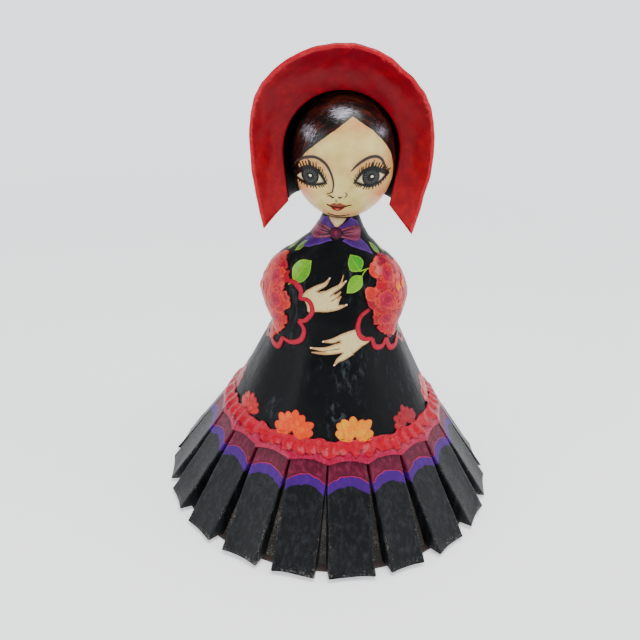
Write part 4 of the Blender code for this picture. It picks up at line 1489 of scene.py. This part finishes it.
def makeRoom():
    # a pale sheet that is flat under the figure and curves up all round, far off
    profile = [(0.001, 0.0), (0.7, 0.0), (1.4, 0.0), (room["flat"], 0.0)]
    rise = room["cove"]
    for i in range(1, room["coveSteps"] + 1):
        turn = math.pi / 2 * i / room["coveSteps"]
        profile.append((room["flat"] + rise * math.sin(turn), rise * (1 - math.cos(turn))))
    turns = room["turns"]
    circle = [(math.cos(2 * math.pi * i / turns), math.sin(2 * math.pi * i / turns)) for i in range(turns)]
    # its rim is lower in front, so that the dark varnish has nothing pale to mirror there
    edge = room["flat"] + rise
    verts = []
    for x, y in circle:
        extra = room["extraRim"] * min(1, max(0, (y + 0.85) * 3.5))
        verts.append((edge * x, edge * y, rise + room["frontRim"] + extra))
    verts += [(r * x, r * y, z) for r, z in profile[::-1] for x, y in circle]
    floor = newPiece("paleSheet", verts, gridFaces(len(profile) + 1, turns, wrap=True), 180)
    floor.data.flip_normals()
    material, tree, shader, place = startMaterial("paleSheet", 0.7)
    # the sheet's colour turns from pale near the figure to grey far off: painted shade on the far sheet
    reach = addNode(tree, "ShaderNodeVectorMath", operation="LENGTH")
    ramp = addNode(tree, "ShaderNodeMapRange", {"From Min": 0.3, "From Max": 1.9},
                   interpolation_type="SMOOTHSTEP")
    wire(tree, (place, reach.inputs[0]), (reach.outputs["Value"], ramp.inputs["Value"]))
    cloud = mixColours(tree, noiseAt(tree, place, 2.0), room["near"], room["nearLight"])
    wire(tree, (mixColours(tree, ramp.outputs[0], cloud, room["far"]), shader.inputs["Base Color"]))
    # the sheet is lit from beneath, more so far off, which keeps it evenly pale
    glow = addNode(tree, "ShaderNodeMath", operation="MULTIPLY_ADD")
    glow.inputs[1].default_value = room["farGlow"] - room["nearGlow"]
    glow.inputs[2].default_value = room["nearGlow"]
    shader.inputs["Emission Color"].default_value = (0.95, 0.97, 1.0, 1)
    wire(tree, (ramp.outputs[0], glow.inputs[0]), (glow.outputs[0], shader.inputs["Emission Strength"]))
    floor.data.materials.append(material)
    world = bpy.data.worlds.new("paleRoom")
    world.use_nodes = True
    sky = world.node_tree
    parts = addNode(sky, "ShaderNodeSeparateXYZ")
    ramp = addNode(sky, "ShaderNodeMapRange", {
        "From Min": -0.35, "From Max": 0.7, "To Min": room["skyFront"], "To Max": room["skyBack"]})
    sky.nodes["Background"].inputs["Color"].default_value = (0.93, 0.95, 1.0, 1)
    wire(sky, (addNode(sky, "ShaderNodeTexCoord").outputs["Generated"], parts.inputs[0]),
         (parts.outputs["Y"], ramp.inputs["Value"]),
         (ramp.outputs[0], sky.nodes["Background"].inputs["Strength"]))
    bpy.context.scene.world = world


def addLamp(name, place, size, power, glossy=True):
    lamp = bpy.data.lights.new(name, "AREA")
    lamp.shape, lamp.size, lamp.size_y, lamp.energy = "RECTANGLE", size[0], size[1], power
    obj = bpy.data.objects.new(name, lamp)
    obj.location = place
    obj.rotation_euler = (Vector((0, 0, 0.15)) - Vector(place)).to_track_quat("-Z", "Y").to_euler()
    obj.visible_glossy = glossy
    bpy.context.scene.collection.objects.link(obj)


def makeLights():
    addLamp("overheadBox", (0.1, -0.2, 1.5), (1.0, 0.8), room["key"])
    addLamp("leftWindow", (-1.3, -0.7, 0.8), (0.6, 0.9), room["side"])
    addLamp("rightWindow", (1.3, -0.2, 0.9), (0.5, 0.9), room["side"])
    addLamp("frontFill", (0.1, -1.9, 1.0), (1.4, 1.0), room["front"], glossy=False)


def makeCamera():
    camera = bpy.data.objects.new("camera", bpy.data.cameras.new("camera"))
    camera.data.lens, camera.data.sensor_width = view["lens"], view["sensor"]
    tip = Matrix.Rotation(math.radians(90 - view["down"]), 4, "X")
    roll = Matrix.Rotation(math.radians(view["roll"]), 4, "Z")
    camera.matrix_world = Matrix.Translation(view["place"]) @ (tip @ roll)
    bpy.context.scene.collection.objects.link(camera)
    bpy.context.scene.camera = camera


makeCamera()
makeRoom()
makeLights()
print("room and camera ready")
dressSkin = makeBody(dressPaint())
makePleats(pleatPaint())
bandSkin = makeBand(bandPaint())
print("dress ready")
headSkin = makeHead(facePaint())
bonnetRed = bonnetPaint()
makeCrown(bonnetRed, hollowShadePaint())
makeBrim(bonnetRed)
makeBase(cardPaint())
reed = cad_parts["neck_reed"]
reed.data.materials.clear()
reed.data.materials.append(reedPaint())
print("head and bonnet ready")
roseVarnish = motifPaint("roseVarnish", 0.3, 0.45)
leafVarnish = motifPaint("leafVarnish", 0.28, 0.3)
bowVarnish = motifPaint("bowVarnish", 0.32, 0.35)
skinVarnish = motifPaint("skinVarnish", 0.36, 0.22)
featureVarnish = motifPaint("featureVarnish", 0.3, 0.15)
bodySurface = surfaceOf(dressSkin)
paintRoses(bodySurface)
paintHemFlowers(surfaceOf(dressSkin, bandSkin))
paintLeaves(bodySurface)
paintCuffs(bodySurface)
paintBow(bodySurface)
paintHands(bodySurface)
paintFace(headSkin)
print("motifs painted")
